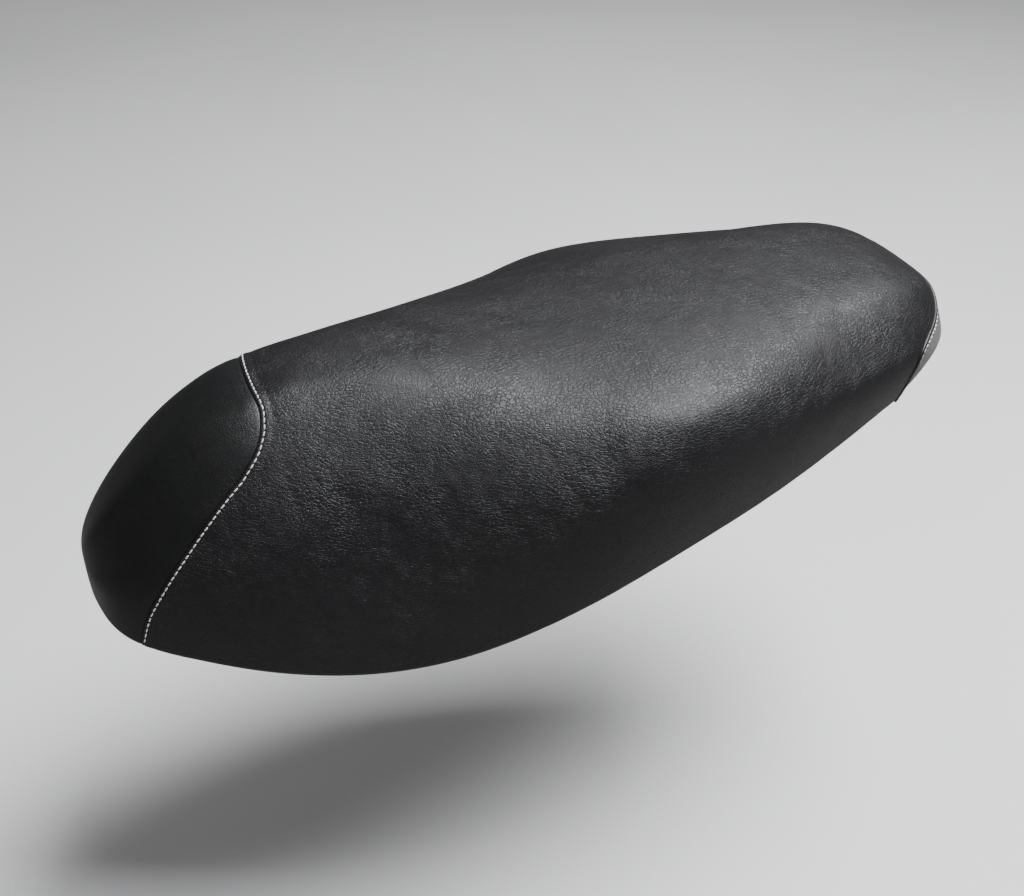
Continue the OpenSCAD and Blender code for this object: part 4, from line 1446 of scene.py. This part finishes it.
def build_hinge():
    sh = Shape()
    # Pin: domed head, shank with a clip groove, chamfered end
    x0, x1, clip = -19.2, 23.0 - 0.4 + 3.2, 19.4
    sh.lathe(prof([(0, -22.2), (4.6, -22.2), (6.5, -21.0), (6.5, -19.2), (4.0, -19.2), (4.0, clip), (3.0, clip), (3.0, clip + 1.2), (4.0, clip + 1.2), (4.0, clip + 2.4), (3.2, clip + 3.2), (0, clip + 3.2)], 0.3), 48, "x", (0, HY, HZ))
    done(sh.make("pivot_pin", ZINC), "hinge_base", "hinge_pin")
    # E-clip
    sh = Shape()
    a0, a1 = math.radians(-90 + 32), math.radians(270 - 32)
    ri, ro = 3.06, 7.2
    m = 44
    rows = []
    for k in range(m + 1):
        a = a0 + (a1 - a0) * k / m
        lobes = 0.55 * max(0.0, math.cos(3 * (a - math.pi / 2))) if k not in (0, m) else 0
        inner = ri + 1.1 - 1.1 * smooth(np.array(math.cos(3 * (a - math.pi / 2))), -0.2, 0.6)
        outer = ro - 1.0 + lobes
        rows.append([(x, HY + r * math.cos(a), HZ + r * math.sin(a)) for x, r in ((clip + 0.1, inner + 0.12), (clip + 0.22, inner), (clip + 0.98, inner), (clip + 1.1, inner + 0.12), (clip + 1.1, outer - 0.12), (clip + 0.98, outer), (clip + 0.22, outer), (clip + 0.1, outer - 0.12))])
    g = np.array(rows, float)
    n8 = g.shape[1]
    faces = [(i * n8 + j, i * n8 + (j + 1) % n8, (i + 1) * n8 + (j + 1) % n8, (i + 1) * n8 + j) for i in range(m) for j in range(n8)]
    faces += [tuple(range(n8))[::-1], tuple(m * n8 + j for j in range(n8))]
    sh.add(g.reshape(-1, 3), faces)
    done(sh.make("pin_clip", SPRING), "hinge_base", "hinge_pin_clip")
    # Flanged nylon bushes
    sh = Shape()
    for sgn in (1, -1):
        pr = [(4.05, 12.0), (5.5, 12.0), (5.5, 15.0), (7.5, 15.0), (7.5, 15.8), (4.05, 15.8), (4.05, 12.0)]
        pr = prof(pr, [0, 0.2, 0.1, 0.25, 0.25, 0.25, 0], 3)
        sh.lathe(pr, 48, "x", (0, HY, HZ), sign=sgn)
    done(sh.make("nylon_bushes", NYLON), "seat", "hinge_bushes")


def hexagon(a, af):
    """Radius of a rounded hexagon, across-flats af, at angle a."""
    s = (a + math.pi / 6) % (math.pi / 3) - math.pi / 6
    return np.minimum(af / 2 / np.cos(s), af / 2 * 1.135)


def screw(sh, x, y, z):
    """Flanged hexagon screw, head down: z is the plate's lower face in design height."""
    zz = z + DZ
    n = 72
    a = np.arange(n) * 2 * math.pi / n
    # AF 9.2 hexagon between the corners of the CAD's head
    hx = hexagon(a, 8.0)
    rows = []
    for k, (scale, h, hexy) in enumerate([(0.001, -4.05, 0), (0.55, -4.05, 0), (0.60, -3.92, 0), (0.72, -3.92, 0), (0.80, -4.2, 0), (0.90, -4.15, 0), (1.0, -3.75, 1), (1.0, -1.35, 1)]):
        rr = (hx * scale) if hexy else np.minimum(hx, 4.0 * (1 + 0.0 * a)) * scale
        rows.append(np.stack([rr * np.cos(a), rr * np.sin(a), np.full(n, h)], 1))
    for r, h in ((4.9, -1.12), (5.45, -0.95), (5.72, -0.65), (5.72, -0.2), (5.5, 0.0), (2.5, 0.0)):
        rows.append(np.stack([r * np.cos(a), r * np.sin(a), np.full(n, h)], 1))
    for k in range(23):
        h = 0.2 + k * 0.4
        r = 2.5 if k % 2 == 0 else 2.12
        rows.append(np.stack([r * np.cos(a), r * np.sin(a), np.full(n, h)], 1))
    rows.append(np.stack([1.7 * np.cos(a), 1.7 * np.sin(a), np.full(n, 9.9)], 1))
    rows.append(np.stack([0.001 * np.cos(a), 0.001 * np.sin(a), np.full(n, 9.9)], 1))
    g = np.array(rows) + np.array([x, y + DY, zz])
    sh.grid(g, close_v=True)


def insert(sh, x, y, z):
    zz = z + DZ
    knurl = lambda a, r, h: (0.022 * np.cos(18 * a) if r > 3.5 else 0 * a)
    pr = [(2.5, 0), (3.3, 0), (3.7, 0.35), (3.7, 2.8), (3.35, 3.0), (3.35, 4.2), (3.7, 4.4), (3.7, 7.0), (3.3, 8), (2.5, 8), (2.5, 0)]
    sh.lathe([(r, h + zz) for r, h in pr], 72, at=(x, y + DY, 0), wobble=knurl)


def build_fasteners():
    for name, spots, z, node in (("hinge_bolts_set", HINGE_XY, 33, "hinge_screws"), ("latch_bolts_set", STRIKER_XY, 121, "striker_screws")):
        sh = Shape()
        for sx in (-1, 1):
            for x, y in spots:
                screw(sh, sx * x, y, z)
        done(sh.make(name, YELLOW, 30), "seat", node)
    for name, spots, z, node in (("hinge_threads", HINGE_XY, 36, "hinge_inserts"), ("latch_threads", STRIKER_XY, 124, "striker_inserts")):
        sh = Shape()
        for sx in (-1, 1):
            for x, y in spots:
                insert(sh, sx * x, y, z)
        done(sh.make(name, BRASS, 30), "seat", node)


def build_latch():
    sh = Shape()
    zb, y = 88 + DZ, 265 + DY
    top = 121 + DZ + 3.0
    path = fillet([(-17, y, top), (-17, y, zb), (17, y, zb), (17, y, top)], [0, 10, 10, 0], 14)
    pts = [np.array(path[0], float)]
    for q in path[1:]:
        q = np.array(q, float)
        d = np.linalg.norm(q - pts[-1])
        k = max(1, int(d / 5))
        last = pts[-1]
        pts += [last + (q - last) * (i / k) for i in range(1, k + 1)]
    sh.rod(pts, 4.0, 28, round_end=False, up=(0, 1, 0))
    # Weld beads where the legs pass the plate
    rnd = np.random.RandomState(5)
    for sx in (-1, 1):
        m, n = 64, 10
        rows = []
        for k in range(m):
            a = 2 * math.pi * k / m
            rp = 1.35 + 0.16 * math.cos(13 * a) + rnd.uniform(-0.05, 0.05)
            c = np.array([sx * 17 + 4.35 * math.cos(a), y + 4.35 * math.sin(a), 121 + DZ - 0.35])
            o = np.array([math.cos(a), math.sin(a), 0])
            rows.append([c + o * rp * math.cos(b) + np.array([0, 0, 1.0]) * rp * 0.8 * math.sin(b) for b in np.arange(n) * 2 * math.pi / n])
        sh.grid(np.array(rows), close_u=True, close_v=True)
    done(sh.make("latch_hoop", ZINC, 45), "seat", "striker_hoop")


def build_rubber():
    for x, y, z, node in PADS:
        sh = Shape()
        for sx in (-1, 1):
            b = z + DZ - 8
            pr = [(0, b + 0.5), (4.2, b + 0.5), (4.8, b), (8.4, b), (9.6, b + 1.1), (9.75, b + 3.4), (9.35, b + 4.0), (9.75, b + 4.6), (9.9, b + 7.0), (9.2, b + 8.0), (3.9, b + 8.0), (3.9, b + 14.2), (3.0, b + 15.0), (0, b + 15.0)]
            sh.lathe(prof(pr, [0, 0.2, 0.3, 0.9, 0.5, 0.4, 0.3, 0.4, 0.6, 0.4, 0.2, 0.4, 0.3, 0], 3), 48, at=(sx * x, y + DY, 0))
        done(sh.make("rubber_" + node.split("_")[1], RUBBER), "seat", node)
    # Elastic strap with ribbed edges and a slight sag between its rivets
    sh = Shape()
    z0 = STRAP_Z - 2.1
    n = 61
    rows = []
    for k in range(n):
        q = k / (n - 1)
        x = -51.8 + 103.6 * q
        end = max(0.0, abs(x) - 43) / 9.0
        hw = 8.9 * math.sqrt(max(0.0, 1 - min(1.0, end) ** 2)) if end > 0 else 8.9
        hw = max(hw, 0.9)
        sag = -0.35 * math.cos(math.pi * x / 86) if abs(x) < 43 else 0.0
        c = z0 + 1.0 + sag
        sec = [(-hw, -0.5), (-hw + 0.5, -0.95), (-hw + 1.4, -0.95), (-hw + 1.8, -0.62), (hw - 1.8, -0.62), (hw - 1.4, -0.95), (hw - 0.5, -0.95), (hw, -0.5), (hw, 0.5), (hw - 0.5, 0.95), (-hw + 0.5, 0.95), (-hw, 0.5)]
        if hw < 4:
            sec = [(-hw, -0.4), (-hw * 0.8, -0.9), (-hw * 0.6, -0.9), (-hw * 0.4, -0.9), (hw * 0.4, -0.9), (hw * 0.6, -0.9), (hw * 0.8, -0.9), (hw, -0.4), (hw, 0.4), (hw * 0.8, 0.9), (-hw * 0.8, 0.9), (-hw, 0.4)]
        rows.append([(x, STRAP[1] + DY + a, c + b) for a, b in sec])
    g = np.array(rows)
    m = g.shape[1]
    faces = [(i * m + j, i * m + (j + 1) % m, (i + 1) * m + (j + 1) % m, (i + 1) * m + j) for i in range(n - 1) for j in range(m)]
    faces += [tuple(range(m))[::-1], tuple((n - 1) * m + j for j in range(m))]
    sh.add(g.reshape(-1, 3), faces)
    done(sh.make("strap_band", RUBBER, 40), "seat", "document_strap")
    sh = Shape()
    for sx in (-1, 1):
        zr = STRAP_Z
        pr = [(0, zr - 3.6), (1.2, zr - 3.58), (2.6, zr - 3.42), (3.8, zr - 3.0), (4.5, zr - 2.45), (4.3, zr - 2.2), (2.0, zr - 2.2), (2.0, zr + 6.4), (1.6, zr + 6.8), (0, zr + 6.8)]
        sh.lathe(prof(pr, 0.2, 2), 36, at=(sx * STRAP[0], STRAP[1] + DY, 0))
    done(sh.make("rivet_heads", ZINC), "seat", "strap_rivets")


build_hinge()
build_fasteners()
build_latch()
build_rubber()


# ---------------------------------------------------------------- floor and light
def build_stage():
    m = Mat("floor", color=(0.8, 0.8, 0.8), rough=0.6, spec=0.2)
    n = m.noise(1.3, 3.0)
    m.set(color=m.mix(m.map(n, 0.35, 0.65), (0.80, 0.80, 0.80), (0.84, 0.84, 0.84)), rough=m.map(n, 0.3, 0.7, 0.55, 0.7))
    me = bpy.data.meshes.new("floor")
    k = 9.0
    z = -0.30
    me.from_pydata([(-k, -k, z), (k, -k, z), (k, k, z), (-k, k, z)], [], [(0, 1, 2, 3)])
    me.materials.append(m.m)
    ob = bpy.data.objects.new("floor", me)
    COL.objects.link(ob)
    ob.visible_glossy = False


def area(name, loc, target, size, size_y, power, color=(1, 1, 1), spread=180):
    d = bpy.data.lights.new(name, "AREA")
    d.shape = "RECTANGLE"
    d.size, d.size_y = size, size_y
    d.energy = power
    d.color = color
    d.spread = math.radians(spread)
    o = bpy.data.objects.new(name, d)
    o.location = loc
    o.rotation_mode = "QUATERNION"
    o.rotation_quaternion = (Vector(target) - Vector(loc)).to_track_quat("-Z", "Y")
    COL.objects.link(o)
    return o


build_stage()
C = (0.0, 0.28, 0.10)
area("overhead", (0.27, 1.10, 2.25), C, 1.5, 1.3, 150, (0.97, 0.98, 1.0))
area("back", (-1.30, 1.25, 1.95), C, 0.9, 0.8, 3, (0.98, 0.98, 1.0))
world = bpy.data.worlds.new("world")
bpy.context.scene.world = world
world.use_nodes = True
wt = world.node_tree
wt.nodes.clear()
w_out = wt.nodes.new("ShaderNodeOutputWorld")
bg = wt.nodes.new("ShaderNodeBackground")
w_co = wt.nodes.new("ShaderNodeTexCoord")
w_sep = wt.nodes.new("ShaderNodeSeparateXYZ")
w_ramp = wt.nodes.new("ShaderNodeValToRGB")
w_map = wt.nodes.new("ShaderNodeMapRange")
wt.links.new(w_co.outputs["Generated"], w_sep.inputs[0])
wt.links.new(w_sep.outputs["Z"], w_map.inputs["Value"])
w_map.inputs["From Min"].default_value = -1.0
w_map.inputs["From Max"].default_value = 1.0
wt.links.new(w_map.outputs["Result"], w_ramp.inputs["Fac"])
# Paler below, where the floor is, and dim at the horizon
stops = [(0.0, 0.55), (0.30, 0.42), (0.46, 0.12), (0.60, 0.07), (1.0, 0.25)]
cr = w_ramp.color_ramp
while len(cr.elements) < len(stops):
    cr.elements.new(0.5)
for e, (p, v) in zip(cr.elements, stops):
    e.position = p
    e.color = (v, v, v * 1.02, 1)
wt.links.new(w_ramp.outputs["Color"], bg.inputs["Color"])
wt.links.new(bg.outputs[0], w_out.inputs["Surface"])
bg.inputs["Strength"].default_value = 1.0

bpy.context.view_layer.update()
